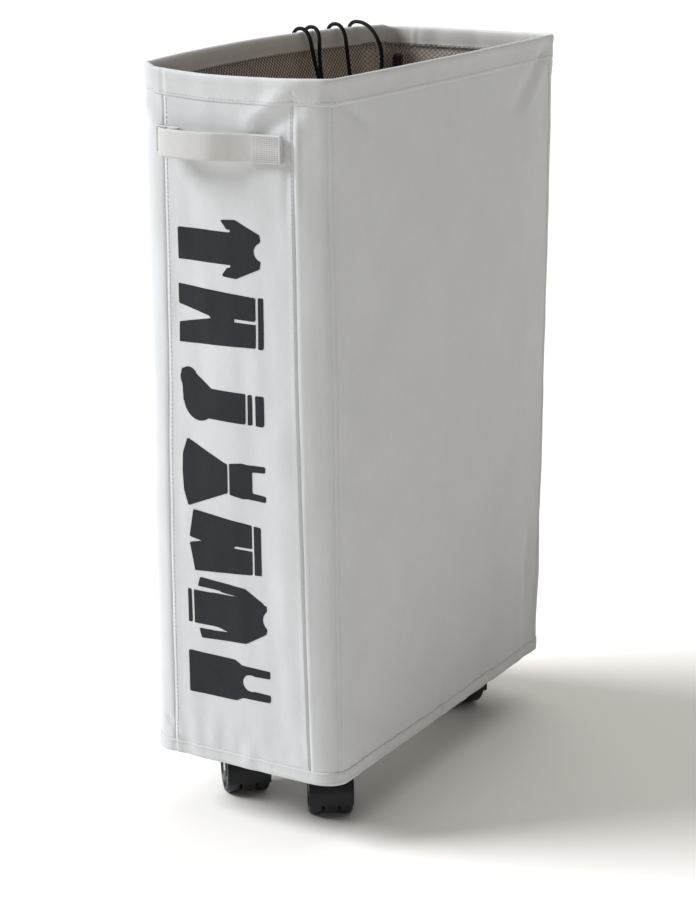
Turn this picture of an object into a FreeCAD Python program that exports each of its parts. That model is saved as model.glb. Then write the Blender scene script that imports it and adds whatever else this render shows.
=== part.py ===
"""Slim laundry hamper on four twin-wheel casters: one STEP file per physical piece.

Frame: millimetres, +Z up, origin on the floor under the middle of the hamper.
The narrow front panel, with its handle, faces -Y.
"""
import FreeCAD, Part
import math
import os

Vec = FreeCAD.Vector

# Overall size
OVERALL_WIDTH = 190.0
OVERALL_LENGTH = 391.0
OVERALL_HEIGHT = 551.0

# Fabric body: corner-to-corner half sizes at the hem and at the rim, and how far the sides bow out
HEM_Z = 46.0
RIM_Z = 544.0
HALF_X_HEM, HALF_X_RIM = 78.0, 72.6
HALF_Y_HEM, HALF_Y_RIM = 168.4, 176.5
CORNER_R = 21.0
FABRIC = 2.0
BOW_AT_RIM = {"left": 19.2, "right": 3.0, "front": 4.0, "back": 4.0}
BELLY = {"left": 4.0, "right": 16.18, "front": 2.0, "back": 2.0}
SEAM_FROM_CORNER_X = 20.0
SEAM_FROM_CORNER_Y = 17.0
SEAM_GAP = 0.05

# Hems
TOP_HEM_OUTSIDE = 18.0
TOP_HEM_INSIDE = 15.0
HEM_CLOTH = 1.2
BOTTOM_HEM_HEIGHT = 9.5
BOTTOM_HEM_CLOTH = 1.5

# Base
BASE_FABRIC_Z = 48.0
BASE_FABRIC_THICKNESS = 1.5
BOARD_THICKNESS = 4.0
BOARD_GAP = 2.5
BOARD_Z = BASE_FABRIC_Z + BASE_FABRIC_THICKNESS + 0.1
BOARD_TOP = BOARD_Z + BOARD_THICKNESS

# Corner rods
ROD_R = 2.6
ROD_FROM_CORNER = 11.1
ROD_Z = (BOARD_TOP + 2.5, 520.0)
POCKET_R = 5.6
POCKET_BORE_R = 3.2
POCKET_Z = (72.0, 508.0)
FOOT_R, FOOT_HEIGHT = 4.8, 15.0
CAP_R, CAP_OVERLAP, CAP_CROWN = 4.2, 9.0, 2.5

# Mesh collar, its drawstring channel and the drawstring
COLLAR_TOP_Z = 528.0
COLLAR_TOP_CORNER_R = 39.0
CHANNEL_Z = 430.0
CHANNEL_HALF_X, CHANNEL_HALF_Y, CHANNEL_CORNER_R = 63.0, 156.0, 26.0
CHANNEL_R, CHANNEL_BORE_R = 3.2, 1.75
COLLAR_CLOTH = 1.0
COLLAR_GAP = 1.2
COLLAR_OVER_CHANNEL = 0.5
MOUTH_HALF = 2.0
CORD_R = 1.5

# Cord lock on the drawstring's tails
LOCK_CENTRE = Vec(-56.0, 64.0, 452.0)
LOCK_SIZE = Vec(15.0, 24.0, 16.0)
LOCK_ROUND = 3.5
LOCK_WALL = 1.5
LOCK_BORE_R = 5.35
PLUNGER_R = 5.0
PLUNGER_LENGTH = 21.0
PLUNGER_TRAVEL = 4.0
PLUNGER_PROUD = 5.5
COIL_R, COIL_WIRE_R, COIL_TURNS = 3.2, 0.4, 3.0
TAIL_Y = (60.0, 68.0)

# Handles
HANDLE_X = -8.0
HANDLE_Z = 498.0
STRAP_WIDTH = 19.0
STRAP_CLOTH = 1.6
# Lines in plan: (along the panel from the handle's middle, out of the panel), to the cloth's middle.
# The slack strap is pushed to one side, so that it bulges over the tab there.
STRAP_LINE = [(-37.8, 6.6), (-41.0, 9.2), (-38.5, 13.0), (-30.0, 15.0), (-15.0, 15.36), (0.0, 13.8),
              (10.0, 10.2), (16.0, 6.9)]
NEAR_TAB_LINE = [(17.6, 6.0), (22.5, 3.4), (28.5, 1.8), (34.0, 1.45), (50.5, 1.45)]
FAR_TAB_LINE = [(-50.5, 1.45), (-38.0, 1.45), (-31.4, 1.7), (-29.6, 3.6), (-32.6, 5.6), (-36.6, 6.2)]

# Casters
CASTER_X, CASTER_Y = 38.0, 109.0
CASTER_MIDDLE = Vec(-3.0, 4.0, 0.0)
CASTER_HEADING = {"fl": -48.0, "fr": -56.0, "bl": -60.0, "br": 150.0}
WHEEL_R = 19.5
WHEEL_WIDTH = 10.4
WHEEL_INNER_Y = 5.6
TREAD_ROUND = 1.5
DISH_R, DISH_DEPTH = 14.5, 1.4
HUB_R, HUB_HOLE_R = 7.2, 4.2
WEB_HALF = 4.9
TRAIL = 12.0
AXLE_R = 2.0
AXLE_BORE_R = 2.05
FENDER_IN_R, FENDER_OUT_R = 20.3, 22.1
FENDER_HALF = 16.4
FENDER_ENDS = (-16.0, 190.0)
HOOD_TOP = WHEEL_R + FENDER_OUT_R
WEB_BOTTOM = 6.5
BOSS_R = 8.0
BOSS_BOTTOM = 34.0
COLUMN_BACK = 5.6
STEM_R = 4.0
STEM_BORE_R = 4.06
STEM_BOTTOM = 28.0
STEM_TOP = 68.5
SHOULDER_R = 6.0
SOCKET_FLANGE_Z = 44.6
SOCKET_FLANGE_R, SOCKET_R = 15.0, 7.0
SOCKET_TOP = 72.0
RIVET_R = 1.6
RIVET_PITCH_R = 11.2

# Loop of drawstring thrown over the left rim: from the lock, over and back twice, to the lock.
TAIL_ROUTE = [
    (-56, 60, 458.6), (-56, 60, 476), (-67, 58.5, 499), (-76.5, 59.5, 527), (-81.2, 59, 549.5),
    (-95.4, 59, 549.5), (-95.5, 58, 526), (-95.4, 54.5, 497), (-95.4, 50.5, 473), (-95.3, 58, 455),
    (-95.3, 74, 453), (-95.3, 83.5, 470), (-95.3, 78, 495), (-95, 74.5, 524), (-95, 74, 549.5),
    (-79.8, 73.5, 549.5), (-77, 68, 526), (-71, 65.5, 501), (-65.5, 70, 480), (-62.5, 82, 468),
    (-62, 95, 473), (-66, 101.5, 493), (-71.3, 102.5, 522), (-75.4, 103, 549.5), (-91.2, 103.5, 549.5),
    (-91, 104, 526), (-90, 105, 500), (-89.4, 109, 478), (-89, 120, 470), (-88.6, 129.5, 480),
    (-88, 131.5, 502), (-87.4, 130, 527), (-86.8, 129, 549.5), (-70, 127.5, 549.5), (-57.5, 124.5, 539),
    (-55.5, 129.5, 523), (-55.5, 125, 503), (-56, 109, 491), (-57, 88, 488), (-56, 68, 484),
    (-56, 68, 458.6),
]

SAVED = []


def save(name, shape):
    """Write one node and keep it for the size report."""
    shape.exportStep("parts/%s.step" % name)
    SAVED.append((name, shape))
    box = shape.optimalBoundingBox()
    state = "ok" if shape.isValid() else "INVALID"
    print("%-24s %s solids %d  z %.1f..%.1f" % (name, state, len(shape.Solids), box.ZMin, box.ZMax))


def box(low, high):
    """A box from its lowest corner to its highest."""
    size = Vec(*high) - Vec(*low)
    return Part.makeBox(size.x, size.y, size.z, Vec(*low))


def rod(start, end, radius):
    """A cylinder between two points."""
    return Part.makeCylinder(radius, (end - start).Length, start, end - start)


def fuse(shapes):
    """One solid from several that overlap."""
    return shapes[0].multiFuse(shapes[1:]).removeSplitter()


# ---------------------------------------------------------------- the body's outline

SIDES = ("front", "right", "back", "left")
OUTWARD = (Vec(0, -1, 0), Vec(1, 0, 0), Vec(0, 1, 0), Vec(-1, 0, 0))


def height_fraction(z):
    return (z - HEM_Z) / (RIM_Z - HEM_Z)


def half_x(z):
    return HALF_X_HEM + (HALF_X_RIM - HALF_X_HEM) * height_fraction(z)


def half_y(z):
    return HALF_Y_HEM + (HALF_Y_RIM - HALF_Y_HEM) * height_fraction(z)


def bow(side, z):
    """How far the middle of a side stands out from the line between its corners."""
    t = height_fraction(z)
    return BOW_AT_RIM[side] * t + BELLY[side] * math.sin(math.pi * t)


def bowed_edge(start, end, outward, amount):
    """A side of the outline: a shallow parabola from corner to corner."""
    points = []
    for step in range(7):
        u = step / 3.0 - 1.0
        points.append(start + (end - start) * ((u + 1.0) / 2.0) + outward * (amount * (1.0 - u * u)))
    curve = Part.BSplineCurve()
    curve.interpolate(points)
    return curve.toShape()


def side_lines(ax, ay, r, z):
    """Start and end of the sides of a rounded rectangle: front, right, back and left."""
    return [(Vec(-ax, -ay - r, z), Vec(ax, -ay - r, z)),
            (Vec(ax + r, -ay, z), Vec(ax + r, ay, z)),
            (Vec(ax, ay + r, z), Vec(-ax, ay + r, z)),
            (Vec(-ax - r, ay, z), Vec(-ax - r, -ay, z))]


def corner_middles(ax, ay, r, z):
    """The middle of each corner's arc, in the order in which it follows the sides."""
    k = r * math.sqrt(0.5)
    return [Vec(ax + k, -ay - k, z), Vec(ax + k, ay + k, z),
            Vec(-ax - k, ay + k, z), Vec(-ax - k, -ay - k, z)]


def rounded_outline(ax, ay, r, z, bows):
    """A closed outline of four bowed sides and four corner arcs."""
    lines = side_lines(ax, ay, r, z)
    middles = corner_middles(ax, ay, r, z)
    edges = []
    for index, (start, end) in enumerate(lines):
        edges.append(bowed_edge(start, end, OUTWARD[index], bows[index]))
        edges.append(Part.Arc(end, middles[index], lines[(index + 1) % 4][0]).toShape())
    return Part.Wire(edges)


def outline(z, offset, corner_r=CORNER_R):
    """The closed outline of the body at a height, moved outward by an offset."""
    bows = [bow(side, z) for side in SIDES]
    return rounded_outline(half_x(z) - corner_r, half_y(z) - corner_r, corner_r + offset, z, bows)


def body_loft(offset, z_low, z_high):
    """The solid inside the outline between two heights."""
    count = max(2, int(round((z_high - z_low) / 85.0)) + 1)
    heights = [z_low + (z_high - z_low) * i / (count - 1.0) for i in range(count)]
    return Part.makeLoft([outline(z, offset) for z in heights], True, False)


def body_ring(outer, inner, z_low, z_high):
    """A band that follows the outline between two offsets."""
    return body_loft(outer, z_low, z_high).cut(body_loft(inner, z_low, z_high))


# ---------------------------------------------------------------- fabric

def tapered_prism(across, inset, gap):
    """A wedge that cuts a panel out of the wall between its two corner seams."""
    low = (half_x(HEM_Z) if across == "x" else half_y(HEM_Z)) - inset + gap
    high = (half_x(RIM_Z) if across == "x" else half_y(RIM_Z)) - inset + gap
    corners = [(-low, HEM_Z), (low, HEM_Z), (high, RIM_Z), (-high, RIM_Z)]
    if across == "x":
        points = [Vec(c, 0, z) for c, z in corners]
        direction = Vec(0, OVERALL_LENGTH, 0)
    else:
        points = [Vec(0, c, z) for c, z in corners]
        direction = Vec(OVERALL_WIDTH, 0, 0)
    face = Part.Face(Part.makePolygon(points + points[:1]))
    return face.extrude(direction), face.extrude(direction * -1)


def rod_axis(sx, sy, z):
    """Where the rod in a corner passes at a height."""
    return Vec(sx * (half_x(z) - ROD_FROM_CORNER), sy * (half_y(z) - ROD_FROM_CORNER), z)


CORNERS = {"fl": (-1, -1), "fr": (1, -1), "bl": (-1, 1), "br": (1, 1)}


def make_walls():
    wall = body_ring(0.0, -FABRIC, HEM_Z + 0.6, RIM_Z - 1.2)
    back, front = tapered_prism("x", SEAM_FROM_CORNER_X, 0.0)
    right, left = tapered_prism("y", SEAM_FROM_CORNER_Y, 0.0)
    save("front_panel", wall.common(front).Solids[0])
    save("back_panel", wall.common(back).Solids[0])
    save("left_panel", wall.common(left).Solids[0])
    save("right_panel", wall.common(right).Solids[0])
    back, front = tapered_prism("x", SEAM_FROM_CORNER_X, SEAM_GAP)
    right, left = tapered_prism("y", SEAM_FROM_CORNER_Y, SEAM_GAP)
    strips = wall.cut(front).cut(back).cut(left).cut(right)
    for name, (sx, sy) in CORNERS.items():
        strip = [s for s in strips.Solids if s.CenterOfMass.x * sx > 0 and s.CenterOfMass.y * sy > 0][0]
        low, high = rod_axis(sx, sy, POCKET_Z[0]), rod_axis(sx, sy, POCKET_Z[1])
        sleeve = strip.fuse(rod(low, high, POCKET_R)).removeSplitter()
        reach = (high - low) * 0.02
        save("corner_sleeve_" + name, sleeve.cut(rod(low - reach, high + reach, POCKET_BORE_R)).Solids[0])


def make_hems():
    outer, inner = HEM_CLOTH, -FABRIC - HEM_CLOTH
    low_outside, low_inside = RIM_Z - TOP_HEM_OUTSIDE, RIM_Z - TOP_HEM_INSIDE
    fold = body_ring(outer, inner, RIM_Z - 1.1, RIM_Z)
    outside = body_ring(outer, 0.05, low_outside, RIM_Z - 1.1)
    inside = body_ring(-FABRIC - 0.05, inner, low_inside, RIM_Z - 1.1)
    save("top_hem", fuse([fold, outside, inside]))
    save("bottom_hem", body_ring(BOTTOM_HEM_CLOTH, 0.05, HEM_Z, HEM_Z + BOTTOM_HEM_HEIGHT))


def caster_places():
    places = {}
    for name, (sx, sy) in CORNERS.items():
        places[name] = CASTER_MIDDLE + Vec(sx * CASTER_X, sy * CASTER_Y, 0)
    return places


def rivet_places(centre):
    """Two rivets beside each socket, in line with the hamper's length."""
    return [centre + Vec(0, side * RIVET_PITCH_R, 0) for side in (-1, 1)]


def make_base():
    holes = []
    for centre in caster_places().values():
        holes.append(Part.makeCylinder(SOCKET_R + 0.05, 20, centre + Vec(0, 0, HEM_Z)))
        for place in rivet_places(centre):
            holes.append(Part.makeCylinder(RIVET_R, 20, place + Vec(0, 0, HEM_Z)))
    cloth = body_loft(-FABRIC - 0.1, BASE_FABRIC_Z, BASE_FABRIC_Z + BASE_FABRIC_THICKNESS)
    save("base_fabric", cloth.cut(holes).Solids[0])
    hx = half_x(BOARD_Z) - FABRIC - BOARD_GAP
    hy = half_y(BOARD_Z) - FABRIC - BOARD_GAP
    board = box((-hx, -hy, BOARD_Z), (hx, hy, BOARD_TOP))
    upright = [e for e in board.Edges if abs(e.tangentAt(e.FirstParameter).z) > 0.9]
    save("base_board", board.makeFillet(CORNER_R - FABRIC - BOARD_GAP, upright).cut(holes).Solids[0])


# ---------------------------------------------------------------- rods

def make_rods():
    feet, caps = [], []
    floor = box((-OVERALL_WIDTH, -OVERALL_LENGTH, 0), (OVERALL_WIDTH, OVERALL_LENGTH, BOARD_TOP))
    for name, (sx, sy) in CORNERS.items():
        low, high = rod_axis(sx, sy, ROD_Z[0]), rod_axis(sx, sy, ROD_Z[1])
        save("corner_rod_" + name, rod(low, high, ROD_R))
        foot = rod(rod_axis(sx, sy, BOARD_TOP - 3.0), rod_axis(sx, sy, BOARD_TOP + FOOT_HEIGHT), FOOT_R)
        feet.append(foot.cut(floor).cut(rod(low, high, ROD_R)))
        cap = rod(rod_axis(sx, sy, ROD_Z[1] - CAP_OVERLAP), rod_axis(sx, sy, ROD_Z[1] + CAP_CROWN), CAP_R)
        crown = Part.makeSphere(CAP_R + 0.6, rod_axis(sx, sy, ROD_Z[1] - 2.0))
        caps.append(cap.common(crown.fuse(rod(low, high, CAP_R))).cut(rod(low, high, ROD_R)).Solids[0])
    save("rod_feet", Part.makeCompound(feet))
    save("rod_caps", Part.makeCompound(caps))


# ---------------------------------------------------------------- mesh collar and drawstring

def channel_path():
    """Rounded rectangle that the collar's drawstring channel follows."""
    shape = (CHANNEL_HALF_X - CHANNEL_CORNER_R, CHANNEL_HALF_Y - CHANNEL_CORNER_R, CHANNEL_CORNER_R)
    lines = side_lines(*shape, CHANNEL_Z)
    middles = corner_middles(*shape, CHANNEL_Z)
    edges = []
    for index, (start, end) in enumerate(lines):
        edges.append(Part.makeLine(start, end))
        edges.append(Part.Arc(end, middles[index], lines[(index + 1) % 4][0]).toShape())
    return edges


def ring_tube(radius):
    """A closed tube round the channel's path, swept edge by edge and joined."""
    pieces = []
    for edge in channel_path():
        if isinstance(edge.Curve, Part.Line):
            pieces.append(rod(edge.Vertexes[0].Point, edge.Vertexes[-1].Point, radius))
        else:
            along = edge.tangentAt(edge.FirstParameter)
            disc = Part.Face(Part.Wire(Part.makeCircle(radius, edge.Vertexes[0].Point, along)))
            pieces.append(disc.revolve(edge.Curve.Center, Vec(0, 0, 1), 90))
    return fuse(pieces)


def collar_loft(offset):
    """From the bowed outline under the top hem down to the straight-sided channel."""
    top = outline(COLLAR_TOP_Z, offset - FABRIC - HEM_CLOTH - COLLAR_GAP, COLLAR_TOP_CORNER_R)
    r = CHANNEL_CORNER_R + COLLAR_OVER_CHANNEL + offset
    ax = CHANNEL_HALF_X - CHANNEL_CORNER_R
    ay = CHANNEL_HALF_Y - CHANNEL_CORNER_R
    bottom = rounded_outline(ax, ay, r, CHANNEL_Z + CHANNEL_R + 0.2, (0.0, 0.0, 0.0, 0.0))
    return Part.makeLoft([top, bottom], True, True)


def rounded_tube(points, radius, label):
    """A round tube of straight runs joined by tangent arcs, and its list of bend radii."""
    points = [Vec(*p) for p in points]
    edges = []
    radii = []
    last = points[0]
    for before, at, after in zip(points, points[1:], points[2:]):
        a = before - at
        b = after - at
        shorter = min(a.Length, b.Length)
        half_turn = (math.pi - a.getAngle(b)) / 2.0
        setback = 0.45 * shorter
        radii.append(setback / math.tan(half_turn))
        start = at + a.normalize() * setback
        end = at + b.normalize() * setback
        middle = start + (end - start) * 0.5
        towards = at - middle
        depth = radii[-1] * (1.0 - math.cos(half_turn))
        edges.append(Part.makeLine(last, start))
        edges.append(Part.Arc(start, middle + towards.normalize() * depth, end).toShape())
        last = end
    edges.append(Part.makeLine(last, points[-1]))
    path = Part.Wire(edges)
    profile = Part.Wire(Part.makeCircle(radius, points[0], points[1] - points[0]))
    tube = path.makePipeShell([profile], True, False)
    expected = math.pi * radius ** 2 * path.Length
    print("%s: length %.1f, volume ratio %.4f, smallest radius %.1f, radii %s"
          % (label, path.Length, tube.Volume / expected, min(radii), [round(r, 1) for r in radii]))
    return tube


def make_collar():
    save("mesh_collar", collar_loft(0.0).cut(collar_loft(-COLLAR_CLOTH)).Solids[0])
    mouth_x = (-CHANNEL_HALF_X - 1.0, -CHANNEL_HALF_X + 6.0)
    mouths = []
    for y in TAIL_Y:
        low = (mouth_x[0], y - MOUTH_HALF, CHANNEL_Z - MOUTH_HALF)
        high = (mouth_x[1], y + MOUTH_HALF, CHANNEL_Z + MOUTH_HALF)
        mouths.append(box(low, high))
    save("collar_channel", ring_tube(CHANNEL_R).cut(ring_tube(CHANNEL_BORE_R)).cut(mouths).Solids[0])
    pieces = [ring_tube(CORD_R)]
    lock_bottom = LOCK_CENTRE.z - LOCK_SIZE.z / 2.0
    for y in TAIL_Y:
        route = [(-CHANNEL_HALF_X, y, CHANNEL_Z), (LOCK_CENTRE.x, y, CHANNEL_Z),
                 (LOCK_CENTRE.x, y, lock_bottom)]
        pieces.append(rounded_tube(route, CORD_R, "drawstring end"))
    save("drawstring", fuse(pieces))
    save("drawstring_loop", rounded_tube(TAIL_ROUTE, CORD_R, "drawstring loop"))


def make_lock():
    half = LOCK_SIZE * 0.5
    body = box(tuple(LOCK_CENTRE - half), tuple(LOCK_CENTRE + half))
    along = [e for e in body.Edges if abs(e.tangentAt(e.FirstParameter).y) > 0.9]
    body = body.makeFillet(LOCK_ROUND, along)
    bore_start = LOCK_CENTRE - Vec(0, half.y - LOCK_WALL, 0)
    bore = rod(bore_start, LOCK_CENTRE + Vec(0, half.y + 1, 0), LOCK_BORE_R)
    below = LOCK_CENTRE.z - half.z - 1.0
    slots = [Part.makeCylinder(CORD_R, LOCK_SIZE.z + 2.0, Vec(LOCK_CENTRE.x, y, below)) for y in TAIL_Y]
    save("cord_lock_body", body.cut([bore] + slots).Solids[0])
    plunger_end = LOCK_CENTRE.y + half.y + PLUNGER_PROUD
    plunger_start = plunger_end - PLUNGER_LENGTH
    centre = Vec(LOCK_CENTRE.x, 0, LOCK_CENTRE.z)
    plunger = rod(centre + Vec(0, plunger_start, 0), centre + Vec(0, plunger_end, 0), PLUNGER_R)
    plunger = plunger.makeFillet(1.2, [e for e in plunger.Edges if e.BoundBox.YMin > plunger_end - 0.1])
    holes = []
    for y in TAIL_Y:
        start = Vec(LOCK_CENTRE.x, y + PLUNGER_TRAVEL, LOCK_CENTRE.z - 2 * PLUNGER_R)
        holes.append(Part.makeCylinder(CORD_R + 0.4, 4 * PLUNGER_R, start))
    save("cord_lock_plunger", plunger.cut(holes).Solids[0])
    coil_start = bore_start.y
    coil_length = plunger_start - coil_start
    helix = Part.makeHelix(coil_length / COIL_TURNS, coil_length - 0.8, COIL_R)
    ring = []
    for step in range(9):
        angle = math.radians(45.0 * step + 22.5)
        ring.append(Vec(COIL_R + COIL_WIRE_R * math.cos(angle), 0, COIL_WIRE_R * math.sin(angle)))
    spring = helix.makePipeShell([Part.makePolygon(ring)], True, True)
    spring.rotate(Vec(0, 0, 0), Vec(1, 0, 0), -90)
    spring.translate(Vec(LOCK_CENTRE.x, coil_start + 0.4, LOCK_CENTRE.z))
    save("cord_lock_spring", spring)


# ---------------------------------------------------------------- handles

def handle_profile(points, thickness):
    """A strip of cloth along a smooth line in plan, as tall as the strap is wide."""
    line = Part.BSplineCurve()
    line.interpolate([Vec(x, y, 0) for x, y in points])
    outer, inner = [], []
    for step in range(13):
        at = line.FirstParameter + (line.LastParameter - line.FirstParameter) * step / 12.0
        here = line.value(at)
        normal = Vec(-line.tangent(at)[0].y, line.tangent(at)[0].x, 0)
        outer.append(here + normal * (thickness / 2.0))
        inner.append(here - normal * (thickness / 2.0))
    first, second = Part.BSplineCurve(), Part.BSplineCurve()
    first.interpolate(outer)
    second.interpolate(inner)
    edges = [first.toShape(), Part.makeLine(outer[-1], inner[-1]),
             second.toShape(), Part.makeLine(inner[0], outer[0])]
    face = Part.Face(Part.Wire(Part.__sortEdges__(edges)))
    face.translate(Vec(0, 0, HANDLE_Z - STRAP_WIDTH / 2.0))
    return face.extrude(Vec(0, 0, STRAP_WIDTH))


def handle_strip(line, turn):
    """A strip of the front handle, or turned half round for the back one."""
    surface = half_y(HANDLE_Z)
    points = []
    for x, out in line:
        u = (HANDLE_X + x) / (half_x(HANDLE_Z) - CORNER_R)
        points.append((HANDLE_X + x, -surface - bow("front", HANDLE_Z) * (1.0 - u * u) - out))
    strip = handle_profile(points, STRAP_CLOTH)
    strip.rotate(Vec(0, 0, 0), Vec(0, 0, 1), turn)
    return strip


def make_handles():
    """Each strap bows out between two stitched tabs, whose ends rise to meet it."""
    for name, turn in (("front", 0), ("back", 180)):
        save(name + "_handle_strap", handle_strip(STRAP_LINE, turn))
        tabs = [handle_strip(line, turn) for line in (NEAR_TAB_LINE, FAR_TAB_LINE)]
        save(name + "_handle_tabs", Part.makeCompound(tabs))


# ---------------------------------------------------------------- casters

def wheel(side):
    """One wheel about an axle along +Y through the origin; side is -1 or 1."""
    inner, outer = WHEEL_INNER_Y, WHEEL_INNER_Y + WHEEL_WIDTH
    dish = outer - DISH_DEPTH
    hub = outer - 0.2
    shoulder = WHEEL_R - TREAD_ROUND
    points = [(AXLE_BORE_R, inner), (shoulder, inner), (WHEEL_R, inner + TREAD_ROUND),
              (WHEEL_R, outer - TREAD_ROUND), (shoulder, outer), (DISH_R + 1.0, outer), (DISH_R, dish),
              (HUB_R + 0.8, dish), (HUB_R, hub), (HUB_HOLE_R, hub), (HUB_HOLE_R, dish), (AXLE_BORE_R, dish)]
    edges = []
    for index, (radius, y) in enumerate(points):
        next_radius, next_y = points[(index + 1) % len(points)]
        edges.append(Part.makeLine(Vec(radius, y, 0), Vec(next_radius, next_y, 0)))
    solid = Part.Face(Part.Wire(edges)).revolve(Vec(0, 0, 0), Vec(0, 1, 0), 360)
    if side < 0:
        solid = solid.mirror(Vec(0, 0, 0), Vec(0, 1, 0))
    return solid


def hood():
    """The caster's body about its axle: a web between the wheels, a fender over them, a stem boss."""
    over = WHEEL_R + FENDER_OUT_R
    web_r = FENDER_OUT_R - 0.6
    web = Part.makeCylinder(web_r, 2 * WEB_HALF, Vec(0, -WEB_HALF, 0), Vec(0, 1, 0))
    web = web.common(box((-over, -WEB_HALF, WEB_BOTTOM - WHEEL_R), (over, WEB_HALF, over)))
    sector = Part.makeCylinder(FENDER_OUT_R, 2 * FENDER_HALF, Vec(0, -FENDER_HALF, 0), Vec(0, 1, 0))
    sector = sector.makeFillet(1.0, [e for e in sector.Edges if isinstance(e.Curve, Part.Circle)])
    front, back = [math.radians(angle) for angle in FENDER_ENDS]
    below = Part.makePolygon([Vec(0, -over, 0), Vec(over * math.cos(front), -over, over * math.sin(front)),
                              Vec(over, -over, -over), Vec(-over, -over, -over),
                              Vec(over * math.cos(back), -over, over * math.sin(back)), Vec(0, -over, 0)])
    sector = sector.cut(Part.Face(below).extrude(Vec(0, 2 * over, 0)))
    boss = Part.makeCylinder(BOSS_R, HOOD_TOP - BOSS_BOTTOM, Vec(-TRAIL, 0, BOSS_BOTTOM - WHEEL_R))
    column = box((-TRAIL - COLUMN_BACK, -WEB_HALF, STEM_BOTTOM - WHEEL_R - 0.5),
                 (-TRAIL + BOSS_R, WEB_HALF, HOOD_TOP - WHEEL_R - 1.0))
    body = fuse([web, sector, boss, column])
    for side in (-1, 1):
        body = body.cut(Part.makeCylinder(FENDER_IN_R, over, Vec(0, side * WEB_HALF, 0), Vec(0, side, 0)))
    body = body.cut(Part.makeCylinder(STEM_R, over, Vec(-TRAIL, 0, STEM_BOTTOM - WHEEL_R)))
    body = body.cut(Part.makeCylinder(AXLE_R, 2 * over, Vec(0, -over, 0), Vec(0, 1, 0)))
    return body.Solids[0]


def axle():
    """A pin with a head outside each wheel."""
    outer = WHEEL_INNER_Y + WHEEL_WIDTH
    shaft = Part.makeCylinder(AXLE_R, 2 * outer - 1.6, Vec(0, -outer + 0.8, 0), Vec(0, 1, 0))
    pieces = [shaft]
    for side in (-1, 1):
        pieces.append(Part.makeCylinder(3.4, 0.9, Vec(0, side * (outer - 1.05), 0), Vec(0, side, 0)))
    return fuse(pieces)


def stem():
    """The steel stem about its own axis, with the shoulder under the socket."""
    pin = Part.makeCylinder(STEM_R, STEM_TOP - STEM_BOTTOM, Vec(0, 0, STEM_BOTTOM))
    pin = pin.makeChamfer(0.8, [e for e in pin.Edges if e.BoundBox.ZMin > STEM_TOP - 0.1])
    low, high = HOOD_TOP + 0.05, SOCKET_FLANGE_Z - 0.4
    shoulder = Part.makeCylinder(SHOULDER_R, high - low, Vec(0, 0, low))
    return fuse([pin, shoulder])


def socket():
    """The plastic socket through the base: flange below, sleeve above, blind bore."""
    flange_height = BASE_FABRIC_Z - 0.1 - SOCKET_FLANGE_Z
    flange = Part.makeCylinder(SOCKET_FLANGE_R, flange_height, Vec(0, 0, SOCKET_FLANGE_Z))
    flange = flange.makeChamfer(0.8, [e for e in flange.Edges if e.BoundBox.ZMax < SOCKET_FLANGE_Z + 0.1])
    sleeve = Part.makeCylinder(SOCKET_R, SOCKET_TOP - SOCKET_FLANGE_Z, Vec(0, 0, SOCKET_FLANGE_Z))
    sleeve = sleeve.makeFillet(1.5, [e for e in sleeve.Edges if e.BoundBox.ZMin > SOCKET_TOP - 0.1])
    below = Vec(0, 0, SOCKET_FLANGE_Z - 1.0)
    bore = Part.makeCylinder(STEM_BORE_R, STEM_TOP + 2.0 - SOCKET_FLANGE_Z, below)
    rivets = [Part.makeCylinder(RIVET_R, 10, place + below) for place in rivet_places(Vec())]
    return fuse([flange, sleeve]).cut([bore] + rivets)


def rivet(place):
    """A rivet through the socket's flange, the base fabric and the board."""
    low, high = SOCKET_FLANGE_Z - 0.9, BOARD_TOP + 1.0
    shank = Part.makeCylinder(RIVET_R, high - low, place + Vec(0, 0, low))
    head_low = Part.makeCylinder(2.6, 0.9, place + Vec(0, 0, low))
    head_high = Part.makeCylinder(3.2, 1.0, place + Vec(0, 0, BOARD_TOP))
    return fuse([shank, head_low, head_high])


def place_caster(shape, name, at_axle):
    """Copy a caster piece to its corner, turned to its heading."""
    moved = shape.copy()
    if at_axle:
        moved.translate(Vec(TRAIL, 0, WHEEL_R))
    moved.rotate(Vec(0, 0, 0), Vec(0, 0, 1), CASTER_HEADING[name])
    moved.translate(caster_places()[name])
    return moved


def make_casters():
    pieces = {"hood": (hood(), True), "axle": (axle(), True), "wheel_left": (wheel(-1), True),
              "wheel_right": (wheel(1), True), "stem": (stem(), False)}
    rivets = []
    for name in CORNERS:
        for piece, (shape, at_axle) in pieces.items():
            save("caster_%s_%s" % (name, piece), place_caster(shape, name, at_axle))
        holder = socket()
        holder.translate(caster_places()[name])
        save("caster_socket_" + name, holder)
        rivets += [rivet(place) for place in rivet_places(caster_places()[name])]
        heading = math.radians(CASTER_HEADING[name])
        axle_at = caster_places()[name] + Vec(TRAIL * math.cos(heading), TRAIL * math.sin(heading), WHEEL_R)
        spin = (round(-math.sin(heading), 6), round(math.cos(heading), 6))
        print("caster %s axle at (%.4f, %.4f, %.4f), axis %s" % (name, axle_at.x, axle_at.y, axle_at.z, spin))
    save("socket_rivets", Part.makeCompound(rivets))


os.makedirs("parts", exist_ok=True)
make_walls()
make_hems()
make_base()
make_rods()
make_collar()
make_lock()
make_handles()
make_casters()


def print_box(label, shapes):
    """The exact box of some pieces."""
    boxes = [shape.optimalBoundingBox() for shape in shapes]
    whole = boxes[0]
    for other in boxes[1:]:
        whole.add(other)
    print("%s: x %.2f..%.2f  y %.2f..%.2f  z %.2f..%.2f"
          % (label, whole.XMin, whole.XMax, whole.YMin, whole.YMax, whole.ZMin, whole.ZMax))


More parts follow.
